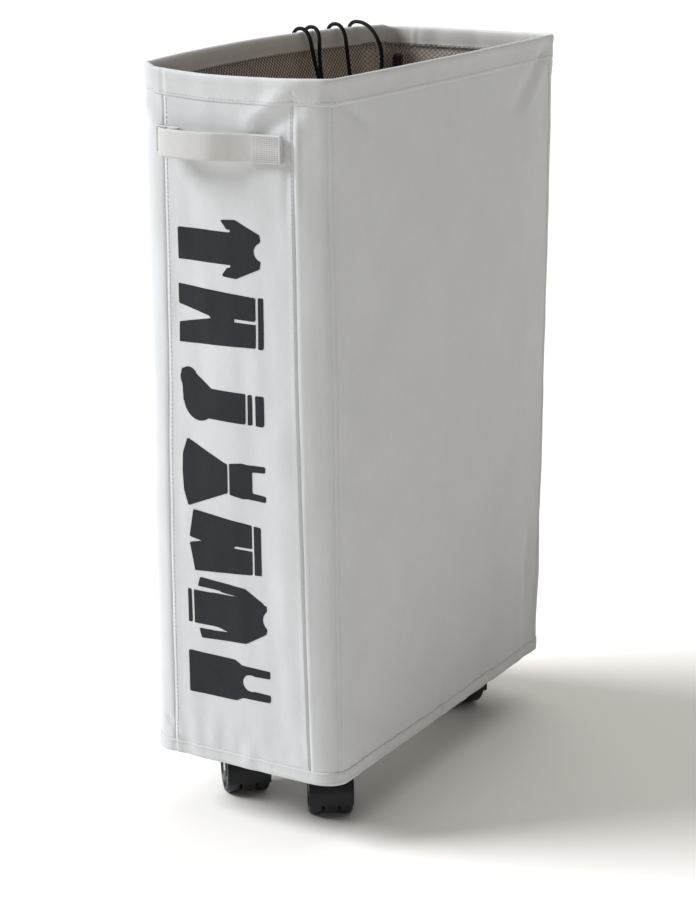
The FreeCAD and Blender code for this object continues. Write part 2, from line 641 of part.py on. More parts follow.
print("wanted: %.0f x %.0f x %.0f" % (OVERALL_WIDTH, OVERALL_LENGTH, OVERALL_HEIGHT))
print_box("with the drawstring's loop", [shape for name, shape in SAVED])
print_box("without it", [shape for name, shape in SAVED if name != "drawstring_loop"])
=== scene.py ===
import math

import bpy
import numpy as np
from mathutils import Matrix, Vector


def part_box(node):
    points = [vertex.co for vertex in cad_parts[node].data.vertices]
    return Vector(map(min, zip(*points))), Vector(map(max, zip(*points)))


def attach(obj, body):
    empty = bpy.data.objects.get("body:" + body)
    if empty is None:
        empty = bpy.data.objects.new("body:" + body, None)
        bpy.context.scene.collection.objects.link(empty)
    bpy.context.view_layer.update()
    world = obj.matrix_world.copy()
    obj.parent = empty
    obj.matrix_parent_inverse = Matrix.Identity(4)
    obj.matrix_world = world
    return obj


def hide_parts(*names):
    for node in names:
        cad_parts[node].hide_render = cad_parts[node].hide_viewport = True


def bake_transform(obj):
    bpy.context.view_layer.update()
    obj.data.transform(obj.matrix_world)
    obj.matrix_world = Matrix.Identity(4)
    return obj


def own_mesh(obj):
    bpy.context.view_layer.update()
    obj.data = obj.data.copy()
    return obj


# Looks of the slim laundry hamper: its cloth, net, cord, print and casters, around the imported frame.
# Metres, +Z up, origin on the floor under the middle; the panel with the front handle faces -Y.

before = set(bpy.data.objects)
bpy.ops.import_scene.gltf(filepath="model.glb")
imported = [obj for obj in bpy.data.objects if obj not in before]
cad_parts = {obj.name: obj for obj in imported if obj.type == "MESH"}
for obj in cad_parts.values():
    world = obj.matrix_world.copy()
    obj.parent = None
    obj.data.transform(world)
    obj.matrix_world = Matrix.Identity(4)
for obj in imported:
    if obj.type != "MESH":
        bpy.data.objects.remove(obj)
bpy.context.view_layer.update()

# --- driving dimensions

HEM_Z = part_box("bottom_hem")[0].z
RIM_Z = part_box("top_hem")[1].z
HEIGHT = RIM_Z - HEM_Z
HALF_X_HEM, HALF_X_RIM = 0.0780, 0.0726
HALF_Y_HEM, HALF_Y_RIM = 0.1684, 0.1765
FABRIC = 0.0020

# Sides in order round the body, and the corner after each; tuples of four below follow this order
SIDES = ("front", "right", "back", "left")
CORNERS = ("fr", "br", "bl", "fl")
ALONG = np.array([(1, 0), (0, 1), (-1, 0), (0, -1)], float)
OUTWARD = np.array([(0, -1), (1, 0), (0, 1), (-1, 0)], float)
UP = np.array([0.0, 0.0, 1.0])

# How far each side's middle stands out at the rim, and how much more at half height
BOW_AT_RIM = (0.0040, 0.0030, 0.0040, 0.0192)
BELLY = (0.0020, 0.01618, 0.0020, 0.0040)
# How far from its sharp corner a round corner begins on the side before it and ends on the side after
CORNER_REACH_HEM = ((0.0220, 0.0160), (0.0165, 0.0165), (0.0165, 0.0165), (0.0150, 0.0150))
CORNER_REACH_RIM = ((0.0350, 0.0130), (0.0120, 0.0120), (0.0140, 0.0140), (0.0120, 0.0120))
CORNER_ROUNDER = 0.0035
# How far a seam is from the sharp corner, by side and by its start (-1) or end (1)
SEAM_FROM_CORNER = {(0, -1): 0.020, (0, 1): 0.020, (1, -1): 0.0058, (1, 1): 0.017,
                    (2, -1): 0.020, (2, 1): 0.020, (3, -1): 0.017, (3, 1): 0.017}

# How far the rim stands above or below its plane: at each corner and at the middle of each side
RIM_LIFT = {"fl": 0.0040, "front": -0.0004, "fr": 0.0008, "right": 0.0006, "br": 0.0004, "back": -0.0010,
            "bl": -0.0016, "left": 0.0028}

TOP_HEM_OUTSIDE, TOP_HEM_INSIDE = 0.0175, 0.0150
BOTTOM_HEM = 0.0095
TOP_STITCHES, BOTTOM_STITCHES = 0.0022, 0.0018
CHANNEL_Z, CHANNEL_HALF, CHANNEL_CORNER = 0.430, (0.063, 0.156), 0.026
CHANNEL_R = 0.0032
CORD_R = 0.0015

# --- small helpers


def lerp(a, b, t):
    return a + (b - a) * t


def smooth_step(low, high, x):
    t = np.clip((x - low) / (high - low), 0.0, 1.0)
    return t * t * (3.0 - 2.0 * t)


def bell(x):
    return np.exp(-x * x)


def ripples(points, wavelength, seed, stretch=(1.0, 1.0, 1.0)):
    """A smooth random field of about -1..1 at some points, the same on every run."""
    draw = np.random.RandomState(seed)
    total = np.zeros(points.shape[:-1])
    waves = 14
    for _ in range(waves):
        direction = draw.normal(size=3)
        direction /= np.linalg.norm(direction) * wavelength * draw.uniform(0.7, 1.5)
        phase = draw.uniform(0, 2 * math.pi)
        total += np.sin(points @ (direction * 2 * math.pi / np.array(stretch)) + phase)
    return total / math.sqrt(waves)


def unit(vectors):
    return vectors / np.maximum(np.linalg.norm(vectors, axis=-1, keepdims=True), 1e-12)


def raised(plan, z=0.0):
    """Points or directions in plan as points or directions in space, at a height."""
    return np.concatenate([plan, np.broadcast_to(z, plan.shape[:-1])[..., None]], -1)


def circle(count):
    """Evenly spread angles round a circle."""
    return [2 * math.pi * k / count for k in range(count)]


def bridge(one, other):
    """Quads that join two closed loops of points, given by their numbers."""
    return np.stack([one, np.roll(one, -1), np.roll(other, -1), other], -1)


def grid_faces(rows, columns, first=0, around=False, flip=False):
    """Quads of a grid of rows x columns points; around joins the last column to the first."""
    r, c = np.meshgrid(np.arange(rows - 1), np.arange(columns - (0 if around else 1)), indexing="ij")
    d = (c + 1) % columns
    low, high = first + r * columns, first + (r + 1) * columns
    quads = np.stack([low + c, low + d, high + d, high + c], -1).reshape(-1, 4)
    return quads[:, ::-1] if flip else quads


def distances(path):
    """How far along a path each of its points is."""
    return np.concatenate([[0.0], np.cumsum(np.linalg.norm(np.diff(path, axis=0), axis=1))])


def linked(name, data):
    """A new object of the scene, with some data."""
    made = bpy.data.objects.new(name, data)
    bpy.context.scene.collection.objects.link(made)
    return made


def piece(name, points, faces, material, body="basket", slot="body_fabric", replaced=()):
    """A smooth-shaded mesh object that rides on a body."""
    mesh = bpy.data.meshes.new(name)
    mesh.from_pydata(np.asarray(points).reshape(-1, 3).tolist(), [], [list(map(int, f)) for f in faces])
    mesh.validate()
    mesh.shade_smooth()
    mesh.materials.append(material)
    made = linked(name, mesh)
    if body:
        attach(made, body)
    if replaced:
        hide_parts(*replaced)
    return made


def shell(name, outer, normals, thickness, material, **facts):
    """A closed cloth shell: a grid of points, the same grid moved inward, and the rim between them."""
    rows, columns = outer.shape[:2]
    inner = outer - normals * thickness
    count = rows * columns
    faces = [grid_faces(rows, columns), grid_faces(rows, columns, count, flip=True)]
    index = np.arange(count).reshape(rows, columns)
    border = np.concatenate([index[0, :], index[1:, -1], index[-1, -2::-1], index[-2:0:-1, 0]])
    faces.append(bridge(border, border + count)[:, ::-1])
    return piece(name, np.stack([outer, inner]), np.concatenate(faces), material, **facts)


# --- materials


def node_material(name, colour, roughness, **sockets):
    """A principled material, its node tree and its shader."""
    material = bpy.data.materials.new(name)
    material.use_nodes = True
    tree = material.node_tree
    shader = tree.nodes["Principled BSDF"]
    shader.inputs["Base Color"].default_value = (*colour, 1)
    shader.inputs["Roughness"].default_value = roughness
    for socket, value in sockets.items():
        shader.inputs[socket.replace("_", " ")].default_value = value
    return material, tree, shader


def add(tree, kind, inputs=(), **settings):
    """A node with its settings, and values or links for its inputs."""
    node = tree.nodes.new(kind)
    for name, value in settings.items():
        setattr(node, name, value)
    for key, value in dict(inputs).items():
        if isinstance(value, bpy.types.NodeSocket):
            tree.links.new(value, node.inputs[key])
        else:
            node.inputs[key].default_value = value
    return node


def maths(tree, operation, a, b):
    return add(tree, "ShaderNodeMath", {0: a, 1: b}, operation=operation).outputs[0]


def noise_field(tree, coordinates, scale, detail=3.0, roughness=0.5):
    inputs = {"Vector": coordinates, "Scale": scale, "Detail": detail, "Roughness": roughness}
    return add(tree, "ShaderNodeTexNoise", inputs).outputs["Fac"]


def colour_mix(tree, factor, low, high):
    """Colour between two, by a field of 0..1."""
    ramp = add(tree, "ShaderNodeValToRGB", {"Fac": factor})
    ramp.color_ramp.elements[0].position = 0.3
    ramp.color_ramp.elements[0].color = (*low, 1)
    ramp.color_ramp.elements[1].position = 0.7
    ramp.color_ramp.elements[1].color = (*high, 1)
    return ramp.outputs["Color"]


def mottle(tree, shader, field, colour, amount):
    low = tuple(c * (1.0 - amount) for c in colour)
    high = tuple(min(1.0, c * (1.0 + amount)) for c in colour)
    tree.links.new(colour_mix(tree, field, low, high), shader.inputs["Base Color"])


def vary_roughness(tree, shader, field, low, high):
    rough = add(tree, "ShaderNodeMapRange", {"Value": field, "To Min": low, "To Max": high})
    tree.links.new(rough.outputs["Result"], shader.inputs["Roughness"])


def relieve(tree, shader, height, strength, distance):
    bump = add(tree, "ShaderNodeBump", {"Height": height, "Strength": strength, "Distance": distance})
    tree.links.new(bump.outputs["Normal"], shader.inputs["Normal"])


def weave_height(tree, coordinates, pitch):
    """Height of a plain weave on upright cloth: threads along Z crossed by threads along X or Y."""
    place = add(tree, "ShaderNodeSeparateXYZ", {0: coordinates})
    across = maths(tree, "ADD", place.outputs[0], place.outputs[1])
    turns = math.pi / pitch
    warp = maths(tree, "SINE", maths(tree, "MULTIPLY", across, turns), 0.0)
    weft = maths(tree, "SINE", maths(tree, "MULTIPLY", place.outputs[2], turns), 0.0)
    return maths(tree, "MULTIPLY", warp, weft)


def cloth_material(name, colour, pitch, mottling, weave=0.12, roughness=0.78, sheen=0.08, gloss=0.3):
    """Coated cloth: a plain weave with slubs, cloudy in tone and gloss."""
    material, tree, shader = node_material(name, colour, roughness, Sheen_Weight=sheen,
                                           Sheen_Roughness=0.45, Specular_IOR_Level=gloss)
    coordinates = add(tree, "ShaderNodeTexCoord").outputs["Object"]
    stretch = {"Vector": coordinates, "Scale": (1.0, 1.0, 0.25)}
    drawn = add(tree, "ShaderNodeMapping", stretch, vector_type="POINT").outputs["Vector"]
    slubs = noise_field(tree, drawn, 900.0, 2.0)
    cloudy = noise_field(tree, coordinates, 24.0, 4.0)
    field = maths(tree, "ADD", maths(tree, "MULTIPLY", slubs, 0.45), maths(tree, "MULTIPLY", cloudy, 0.55))
    mottle(tree, shader, field, colour, mottling)
    vary_roughness(tree, shader, cloudy, roughness - 0.08, roughness + 0.08)
    height = maths(tree, "ADD", maths(tree, "MULTIPLY", weave_height(tree, coordinates, pitch), weave),
                   maths(tree, "MULTIPLY", slubs, 0.5))
    relieve(tree, shader, height, 0.35, 0.00015)
    return material


def grained_material(name, colour, roughness, grain_scale, grain_depth, variation=0.25, **sockets):
    """Moulded plastic, metal, thread or net: a fine grain, and a slow change of tone and gloss."""
    material, tree, shader = node_material(name, colour, roughness, **sockets)
    coordinates = add(tree, "ShaderNodeTexCoord").outputs["Object"]
    slow = noise_field(tree, coordinates, 45.0, 5.0, 0.6)
    mottle(tree, shader, slow, colour, variation)
    vary_roughness(tree, shader, slow, max(0.05, roughness - 0.12), min(1.0, roughness + 0.12))
    relieve(tree, shader, noise_field(tree, coordinates, grain_scale, 2.0), 0.4, grain_depth)
    return material


CLOTH = cloth_material("light_grey_cloth", (0.600, 0.610, 0.615), 0.00042, 0.035)
LINING = cloth_material("lining_side", (0.740, 0.655, 0.570), 0.00042, 0.05)
HEM = cloth_material("hem_cloth", (0.600, 0.607, 0.607), 0.00042, 0.045)
# The inside of the folded hem is the same cloth, made darker and warmer: painted shade of the basket's
# inside.
HEM_INSIDE_PAINTED_SHADE = cloth_material("inner_hem_painted_shade", (0.560, 0.548, 0.520), 0.00042, 0.06)
WEBBING = cloth_material("strap_cloth", (0.575, 0.570, 0.550), 0.00055, 0.05, weave=0.2)
THREAD = grained_material("thread", (0.570, 0.575, 0.570), 0.7, 4000.0, 0.00005, variation=0.1)
DARK_THREAD = grained_material("square_thread", (0.36, 0.35, 0.33), 0.7, 4000.0, 0.00005, variation=0.2)
INK = cloth_material("dark_print", (0.026, 0.028, 0.032), 0.00042, 0.12, roughness=0.8, sheen=0.0,
                     gloss=0.15)
NET = grained_material("net_thread", (0.050, 0.036, 0.028), 0.8, 3000.0, 0.00005)
NET_TAPE = cloth_material("channel_cloth", (0.035, 0.029, 0.025), 0.00042, 0.2, sheen=0.0)
CORD = grained_material("black_cord", (0.006, 0.006, 0.007), 0.7, 2600.0, 0.0002, Specular_IOR_Level=0.2)
BOARD = grained_material("grey_board", (0.33, 0.33, 0.32), 0.6, 900.0, 0.00008, variation=0.1)
STEEL = grained_material("steel", (0.62, 0.62, 0.63), 0.32, 1500.0, 0.00003, variation=0.06, Metallic=1.0)
BLACK_PLASTIC = grained_material("black_nylon", (0.005, 0.0055, 0.007), 0.48, 1400.0, 0.00006,
                                 Specular_IOR_Level=0.3)
WHEEL_PLASTIC = grained_material("wheel_nylon", (0.008, 0.010, 0.014), 0.42, 1400.0, 0.00005,
                                 Specular_IOR_Level=0.35)


# --- the body's outline


def side_point(side, half, bows, c):
    """Point and tangent on a side of an outline, c along it from its middle."""
    length = half[side % 2]
    reach = half[1 - side % 2]
    out = reach + bows[side] * (1.0 - (c / length) ** 2)
    slope = -2.0 * bows[side] * c / length ** 2
    point = c[..., None] * ALONG[side] + out[..., None] * OUTWARD[side]
    return point, unit(ALONG[side] + slope[..., None] * OUTWARD[side])


def ring(s, half, reaches, bows):
    """Points and outward directions on a bowed outline with round corners, in plan.

    s runs round it from 0 to 8: along a side, then round the corner after it, four times.
    reaches holds, for each corner, how far it extends along the sides before and after it.
    """
    s = np.mod(s, 8.0)
    half = [np.broadcast_to(h, s.shape) for h in half]
    reaches = [[np.broadcast_to(r, s.shape) for r in pair] for pair in reaches]
    bows = [np.broadcast_to(b, s.shape) for b in bows]
    points, tangents = np.zeros(s.shape + (2,)), np.zeros(s.shape + (2,))
    for side in range(4):
        following = (side + 1) % 4
        length = half[side % 2]
        start, end = reaches[side - 1][1] - length, length - reaches[side][0]
        f = s - 2 * side
        point, tangent = side_point(side, half, bows, lerp(start, end, f))
        on_side = (f >= 0) & (f < 1)
        points[on_side], tangents[on_side] = point[on_side], tangent[on_side]
        a, into = side_point(side, half, bows, end)
        b, away = side_point(following, half, bows, reaches[side][1] - half[following % 2])
        cross = into[..., 0] * away[..., 1] - into[..., 1] * away[..., 0]
        gap = b - a
        reach = (gap[..., 0] * away[..., 1] - gap[..., 1] * away[..., 0]) / cross
        peak = a + into * reach[..., None]
        g = (f - 1.0)[..., None]
        w = math.sqrt(0.5)
        shares = ((1 - g) ** 2, 2 * w * g * (1 - g), g ** 2)
        total = shares[0] + shares[1] + shares[2]
        curve = (a * shares[0] + peak * shares[1] + b * shares[2]) / total
        turning = unit(into * (1 - g) + away * g)
        on_corner = (f >= 1) & (f < 2)
        points[on_corner], tangents[on_corner] = curve[on_corner], turning[on_corner]
    return points, np.stack([tangents[..., 1], -tangents[..., 0]], -1)


def body_shape(v):
    """Half sizes, corner reaches and bows at a share v of the height from hem to rim."""
    half = (lerp(HALF_X_HEM, HALF_X_RIM, v), lerp(HALF_Y_HEM, HALF_Y_RIM, v))
    rounder = CORNER_ROUNDER * np.sin(math.pi * np.clip(v, 0, 1))
    reaches = [[lerp(a, b, v) + rounder for a, b in zip(hem, rim)]
               for hem, rim in zip(CORNER_REACH_HEM, CORNER_REACH_RIM)]
    bows = [at_rim * v + belly * np.sin(math.pi * v) for at_rim, belly in zip(BOW_AT_RIM, BELLY)]
    return half, reaches, bows


LIFTS = [RIM_LIFT[name] for pair in zip(SIDES, CORNERS) for name in pair]


def rim_lift(s):
    """Smooth change of the rim's height round the body."""
    at = np.mod(s - 0.5, 8.0)
    low = np.floor(at).astype(int)
    lifts = np.array(LIFTS + LIFTS[:1])
    t = at - low
    return lerp(lifts[low], lifts[low + 1], t * t * (3 - 2 * t))


def seam_frame(side, end, v):
    """A panel's edge in s, metres per unit of s before and past it, and how far in its seam is.

    end is -1 near the side's start and 1 near its end. A negative inset is on the round corner.
    """
    half, reaches, _ = body_shape(v)
    reach = reaches[side - 1][1] if end < 0 else reaches[side][0]
    straight = 2 * half[side % 2] - reaches[side - 1][1] - reaches[side][0]
    return 2 * side + (end > 0), straight, 2 * reach, SEAM_FROM_CORNER[side, end] - reach


def seam_s(side, end, v, offset=0.0):
    """Where a panel's seam is, moved round the body by an offset in metres."""
    edge, straight, bend, inset = seam_frame(side, end, v)
    place = offset - end * inset
    return edge + np.where(place * end > 0, place / bend, place / straight)


def from_seam(side, end, s, v):
    """How far round the body a point is from a panel's seam, in metres."""
    edge, straight, bend, inset = seam_frame(side, end, v)
    past = np.mod(s - edge + 4.0, 8.0) - 4.0
    return np.abs(np.where(past * end > 0, past * bend, past * straight) + end * inset)


# Soft folds in the cloth: side, start and end as (along, up) in metres, height, width
FOLDS = [
    (0, (0.050, 0.5400), (0.016, 0.5160), 0.0020, 0.0050),
    (0, (0.056, 0.5270), (0.024, 0.5060), -0.0026, 0.0058),
    (0, (0.0515, 0.5230), (0.0515, 0.4600), 0.0010, 0.0030),
    (0, (0.0460, 0.5200), (0.0440, 0.4500), -0.0007, 0.0035),
    (0, (-0.066, 0.0730), (-0.056, 0.0640), -0.0016, 0.0028),
    (0, (-0.050, 0.505), (-0.068, 0.535), -0.0008, 0.0060),
    (0, (-0.064, 0.070), (-0.030, 0.053), 0.0010, 0.0055),
    (0, (-0.030, 0.480), (-0.052, 0.300), -0.0007, 0.0140),
    (0, (0.034, 0.300), (0.048, 0.120), 0.0008, 0.0120),
    (1, (-0.160, 0.060), (-0.120, 0.100), 0.0012, 0.0080),
    (1, (-0.160, 0.110), (-0.085, 0.062), -0.0010, 0.0070),
    (1, (0.129, 0.165), (0.136, 0.058), -0.0024, 0.0085),
    (1, (0.156, 0.150), (0.155, 0.056), 0.0014, 0.0080),
    (1, (-0.158, 0.531), (-0.124, 0.509), -0.0012, 0.0035),
    (1, (0.158, 0.540), (0.122, 0.514), -0.0026, 0.0060),
    (1, (0.126, 0.517), (0.086, 0.492), -0.0018, 0.0085),
    (1, (0.150, 0.525), (0.110, 0.495), 0.0016, 0.0070),
    (1, (-0.140, 0.525), (-0.060, 0.380), 0.0012, 0.0260),
    (1, (0.150, 0.520), (0.070, 0.400), 0.0012, 0.0240),
    (1, (-0.020, 0.400), (0.040, 0.160), -0.0012, 0.0300),
    (3, (0.150, 0.060), (0.110, 0.120), 0.0012, 0.0090),
    (3, (-0.150, 0.060), (-0.110, 0.130), -0.0012, 0.0090),
    (3, (-0.140, 0.520), (-0.080, 0.420), 0.0012, 0.0180),
    (2, (0.040, 0.500), (0.064, 0.535), -0.0010, 0.0060),
    (2, (-0.046, 0.490), (-0.066, 0.530), 0.0010, 0.0060),
]


def folds(side, along, z):
    """Height of the soft folds on a side."""
    total = np.zeros(along.shape)
    for of_side, start, end, height, width in FOLDS:
        if of_side != side:
            continue
        a, b = np.array(start), np.array(end)
        place = np.stack([along, z], -1) - a
        t = np.clip(place @ (b - a) / ((b - a) @ (b - a)), 0, 1)
        away = np.linalg.norm(place - t[..., None] * (b - a), axis=-1)
        total += height * bell(away / width) * np.sin(math.pi * (0.12 + 0.76 * t))
    return total


# The rods' ends push the cloth out at the corners, and leave a hollow below
ROD_ENDS_S = (1.45, 3.5, 5.5, 7.5)
ROD_END_Z, ROD_BULGE = 0.5215, 0.0011
ROD_HOLLOW_Z, ROD_HOLLOW = 0.5080, 0.0008


def seam_dip(away):
    """A sewn seam: a narrow groove between two slightly raised folded edges."""
    return -0.0006 * bell(away / 0.0008) + 0.0002 * bell((away - 0.0035) / 0.0022)


def skin(s, v):
    """Points on the body's outer cloth and their outward directions, with its folds and seams."""
    s, v = np.broadcast_arrays(np.asarray(s, float), np.asarray(v, float))
    half, reaches, bows = body_shape(v)
    plan, out = ring(s, half, reaches, bows)
    z = HEM_Z + v * HEIGHT + rim_lift(s) * smooth_step(0.5, 1.0, v)
    points, normals = raised(plan, z), raised(out)
    held = np.sin(math.pi * np.clip(v, 0, 1)) ** 0.5
    relief = 0.0007 * held * ripples(points, 0.085, 11, (1, 1, 2.2))
    relief += 0.00022 * ripples(points, 0.024, 12, (1, 1, 1.6))
    near_hem = bell((v * HEIGHT - 0.012) / 0.016)
    relief += 0.0005 * near_hem * ripples(points, 0.018, 13, (1, 1, 3.0))
    for side in range(4):
        along = plan @ ALONG[side]
        facing = smooth_step(0.75, 0.95, out @ OUTWARD[side])
        relief += facing * folds(side, along, z)
        for end in (-1, 1):
            relief += seam_dip(from_seam(side, end, s, v))
    bulge = ROD_BULGE * bell((z - ROD_END_Z) / 0.0060) - ROD_HOLLOW * bell((z - ROD_HOLLOW_Z) / 0.0060)
    for corner in ROD_ENDS_S:
        relief += bell((np.mod(s, 8.0) - corner) / 0.22) * bulge
    points = points + normals * relief[..., None]
    return points, normals


def skin_at(s, drop=0.0, height=None, out=0.0):
    """A point on the cloth a distance below the rim, or at a height above the hem, moved outward."""
    share = 1.0 - np.asarray(drop) / HEIGHT if height is None else np.asarray(height) / HEIGHT
    points, normals = skin(s, share)
    return points + normals * np.asarray(out)[..., None], normals


def fine_ends(count, margin):
    """Fractions 0..1 with closer spacing near both ends."""
    close = np.array([0.25, 0.5, 0.75, 1.0]) * margin
    return np.unique(np.concatenate([np.linspace(0.0, 1.0, count), close, 1.0 - close]))


# --- walls

WALL_FOOT, WALL_TOP = 0.0012, 0.9975
WALL_SPAN = 0.498
# Spacing of the grid on the printed panel, and on the others
FINE_STEP, COARSE_STEP = 0.0016, 0.0024
STRIP_ROWS, STRIP_COLUMNS = 200, 34


def make_wall(name, s_start, s_end, columns, rows, replaced):
    """A lined wall of cloth from one seam to the next, and its outer points and directions.

    The seams are given as functions of the height share.
    """
    v = np.linspace(WALL_FOOT, WALL_TOP, rows)[:, None]
    points, normals = skin(lerp(s_start(v), s_end(v), columns[None, :]), v)
    wall = shell(name, points, normals, FABRIC, CLOTH, replaced=[replaced])
    wall.data.materials.append(LINING)
    outer_count = rows * len(columns)
    for face in wall.data.polygons:
        if min(face.vertices) >= outer_count:
            face.material_index = 1
    return wall, points, normals


def make_panels():
    """The four panels, by side, each with its outer points and directions."""
    made = {}
    for side, name in enumerate(SIDES):
        width = 2 * (HALF_X_HEM if side % 2 == 0 else HALF_Y_HEM)
        step = FINE_STEP if name == "front" else COARSE_STEP
        columns = fine_ends(int(width / step), 0.02 if side % 2 == 0 else 0.008)
        made[name] = make_wall(name + "_cloth", lambda v: seam_s(side, -1, v), lambda v: seam_s(side, 1, v),
                               columns, int(WALL_SPAN / step), name + "_panel")
    return made


def make_strips():
    """The strips round the corners, by corner, each with its width at half height."""
    made = {}
    for side, corner in enumerate(CORNERS):
        following = (side + 1) % 4
        turn = 8 if side == 3 else 0
        columns = fine_ends(STRIP_COLUMNS, 0.03)
        strip, points, _ = make_wall("corner_strip_" + corner, lambda v: seam_s(side, 1, v),
                                     lambda v: seam_s(following, -1, v) + turn, columns, STRIP_ROWS,
                                     "corner_sleeve_" + corner)
        made[corner] = strip, float(distances(points[STRIP_ROWS // 2])[-1])
    return made


# --- hems

RING_S = np.concatenate([np.concatenate([2 * k + np.linspace(0, 1, n, endpoint=False),
                                         2 * k + 1 + np.linspace(0, 1, 14, endpoint=False)])
                         for k, n in enumerate((70, 160, 70, 160))])


def swept_band(name, measure, profile, replaced):
    """A closed hem round the body from (out, level) points; level is the measure, drop or height."""
    rings = []
    for out, level in profile:
        place = {measure: np.full(RING_S.shape, level)}
        rings.append(skin_at(RING_S, out=np.full(RING_S.shape, out), **place)[0])
    rows, columns = len(rings), len(RING_S)
    first = np.arange(columns)
    faces = [grid_faces(rows, columns, around=True), bridge((rows - 1) * columns + first, first)]
    return piece(name, rings, np.concatenate(faces), HEM, replaced=[replaced])


def make_hems():
    """The folded band over the rim and the bound lower edge."""
    fold = -FABRIC / 2
    top = [(0.0001, TOP_HEM_OUTSIDE), (0.0003, TOP_HEM_OUTSIDE), (0.0005, TOP_HEM_OUTSIDE - 0.0006),
           (0.0003, TOP_HEM_OUTSIDE - TOP_STITCHES), (0.0005, 0.012), (0.0003, 0.009), (0.0008, 0.005),
           (0.0011, 0.002), (0.0008, 0.0010), (0.0001, 0.0001), (fold, -0.0003), (fold - 0.0012, 0.0),
           (-0.0034, 0.0012), (-0.0040, 0.0035), (-0.0041, 0.009),
           (-0.0037, TOP_HEM_INSIDE - TOP_STITCHES), (-0.0038, TOP_HEM_INSIDE - 0.0006),
           (-0.0034, TOP_HEM_INSIDE), (-0.0025, TOP_HEM_INSIDE), (-0.0024, 0.010), (-0.0022, 0.0026),
           (fold, 0.0014), (-0.0001, 0.0022), (0.0000, 0.010)]
    bottom = [(0.0001, BOTTOM_HEM), (0.0005, BOTTOM_HEM), (0.0009, BOTTOM_HEM - 0.0005),
              (0.0006, BOTTOM_HEM - BOTTOM_STITCHES), (0.0012, 0.0050), (0.0008, 0.0020), (0.0012, 0.0008),
              (0.0008, -0.0001), (-0.0010, -0.0004), (-0.0060, -0.0003), (-0.0066, 0.0004),
              (-0.0060, 0.0010), (-0.0010, 0.0006), (-0.0001, 0.0008), (0.0000, 0.0050)]
    top_hem = swept_band("top_hem_cloth", "drop", top, "top_hem")
    bottom_hem = swept_band("bottom_hem_cloth", "height", bottom, "bottom_hem")
    # The inside of the fold takes the darker, warmer copy of the hem cloth: painted shade.
    top_hem.data.materials.append(HEM_INSIDE_PAINTED_SHADE)
    first_inside = [out for out, _ in top].index(-0.0040)
    for face in top_hem.data.polygons:
        rows = [index // len(RING_S) for index in face.vertices]
        if min(rows) >= first_inside - 1 and max(rows) < len(top) - 3:
            face.material_index = 1
    return top_hem, bottom_hem


# --- stitches

THREAD_PROFILE = [(-0.5, 0.25), (-0.36, 0.85), (0.0, 1.0), (0.36, 0.85), (0.5, 0.25)]
THREAD_SIDES = 6
SEAM_STITCHES = 0.0026


def along_path(at, travelled, values):
    """Values at a distance along a path."""
    return np.array([np.interp(at, travelled, values[:, i]) for i in range(3)])


def stitch_meshes(lines, pitch=0.0032, length=0.0025, radius=0.00028):
    """Short raised threads along lines; a line is its points and its outward directions."""
    points, faces = [], []
    cap = np.array([[3, 2, 1, 0], [0, 5, 4, 3]])
    for path, outward in lines:
        travelled = distances(path)
        for at in np.arange(pitch / 2, travelled[-1], pitch):
            start, end = [along_path(at + k * length / 2, travelled, path) for k in (-1, 1)]
            normal = along_path(at, travelled, outward)
            forward = unit(end - start)
            normal = unit(normal - forward * (normal @ forward))
            sideways = np.cross(forward, normal)
            middle = (start + end) / 2
            first = len(points)
            for t, r in THREAD_PROFILE:
                centre = middle + forward * (t * length) + normal * radius * (0.55 - 1.2 * abs(t))
                points += [centre + radius * r * (sideways * math.cos(angle) + normal * math.sin(angle))
                           for angle in circle(THREAD_SIDES)]
            last = first + THREAD_SIDES * (len(THREAD_PROFILE) - 1)
            faces += [grid_faces(len(THREAD_PROFILE), THREAD_SIDES, first, around=True, flip=True),
                      first + cap, last + cap[:, ::-1]]
    return np.array(points), np.concatenate(faces)


def level_line(out, **level):
    """A line round the body at one drop or height."""
    s = np.linspace(0.0, 8.0, 1400)
    return skin_at(s, out=np.full(s.shape, out), **level)


def seam_line(side, end):
    """A line down beside a panel's seam."""
    v = np.linspace(0.022, 0.962, 200)
    points, normals = skin(seam_s(side, end, v, -end * SEAM_STITCHES), v)
    return points + normals * 0.00005, normals


def make_stitches():
    """The rows of stitches in the hems, outside and inside, and beside the seams."""
    inside, outward = level_line(-0.0037, drop=TOP_HEM_INSIDE - TOP_STITCHES)
    rows = {"seam_stitches": [seam_line(side, end) for side in range(4) for end in (-1, 1)],
            "hem_stitches": [level_line(0.0003, drop=TOP_HEM_OUTSIDE - TOP_STITCHES),
                             level_line(0.0006, height=BOTTOM_HEM - BOTTOM_STITCHES),
                             level_line(0.0008, height=0.0020)],
            "inner_hem_stitches": [(inside, -outward)]}
    return [piece(name, *stitch_meshes(lines), THREAD, slot="stitching") for name, lines in rows.items()]


# --- the print


def inside_convex(p, q, corners):
    """How far inside a convex outline, its corners anticlockwise, a point is; negative outside."""
    depth = np.full(p.shape, np.inf)
    for (ax, ay), (bx, by) in zip(corners, corners[1:] + corners[:1]):
        length = math.hypot(bx - ax, by - ay)
        depth = np.minimum(depth, ((bx - ax) * (q - ay) - (by - ay) * (p - ax)) / length)
    return depth


def inside_disc(p, q, x, y, radius):
    return radius - np.hypot(p - x, q - y)


def bar(p, q, low, high):
    """How far inside an upright rectangle a point is."""
    return np.minimum(np.minimum(p - low[0], high[0] - p), np.minimum(q - low[1], high[1] - q))


def joined(*fields):
    return np.maximum.reduce(fields)


def without(field, *cuts):
    return np.minimum.reduce([field] + [-cut for cut in cuts])


def tee(p, q):
    m = np.abs(p)
    body = inside_convex(m, q, [(-5, -34), (13.5, -34), (12.5, 30), (-5, 35)])
    sleeve = inside_convex(m, q, [(6, 34), (8, 12), (21.5, 2), (22.5, 14), (13, 33)])
    gap = bar(m, q, (12.4, -40), (14.6, 10))
    return without(joined(body, sleeve), inside_disc(p, q, 0, 36, 7.5), gap)


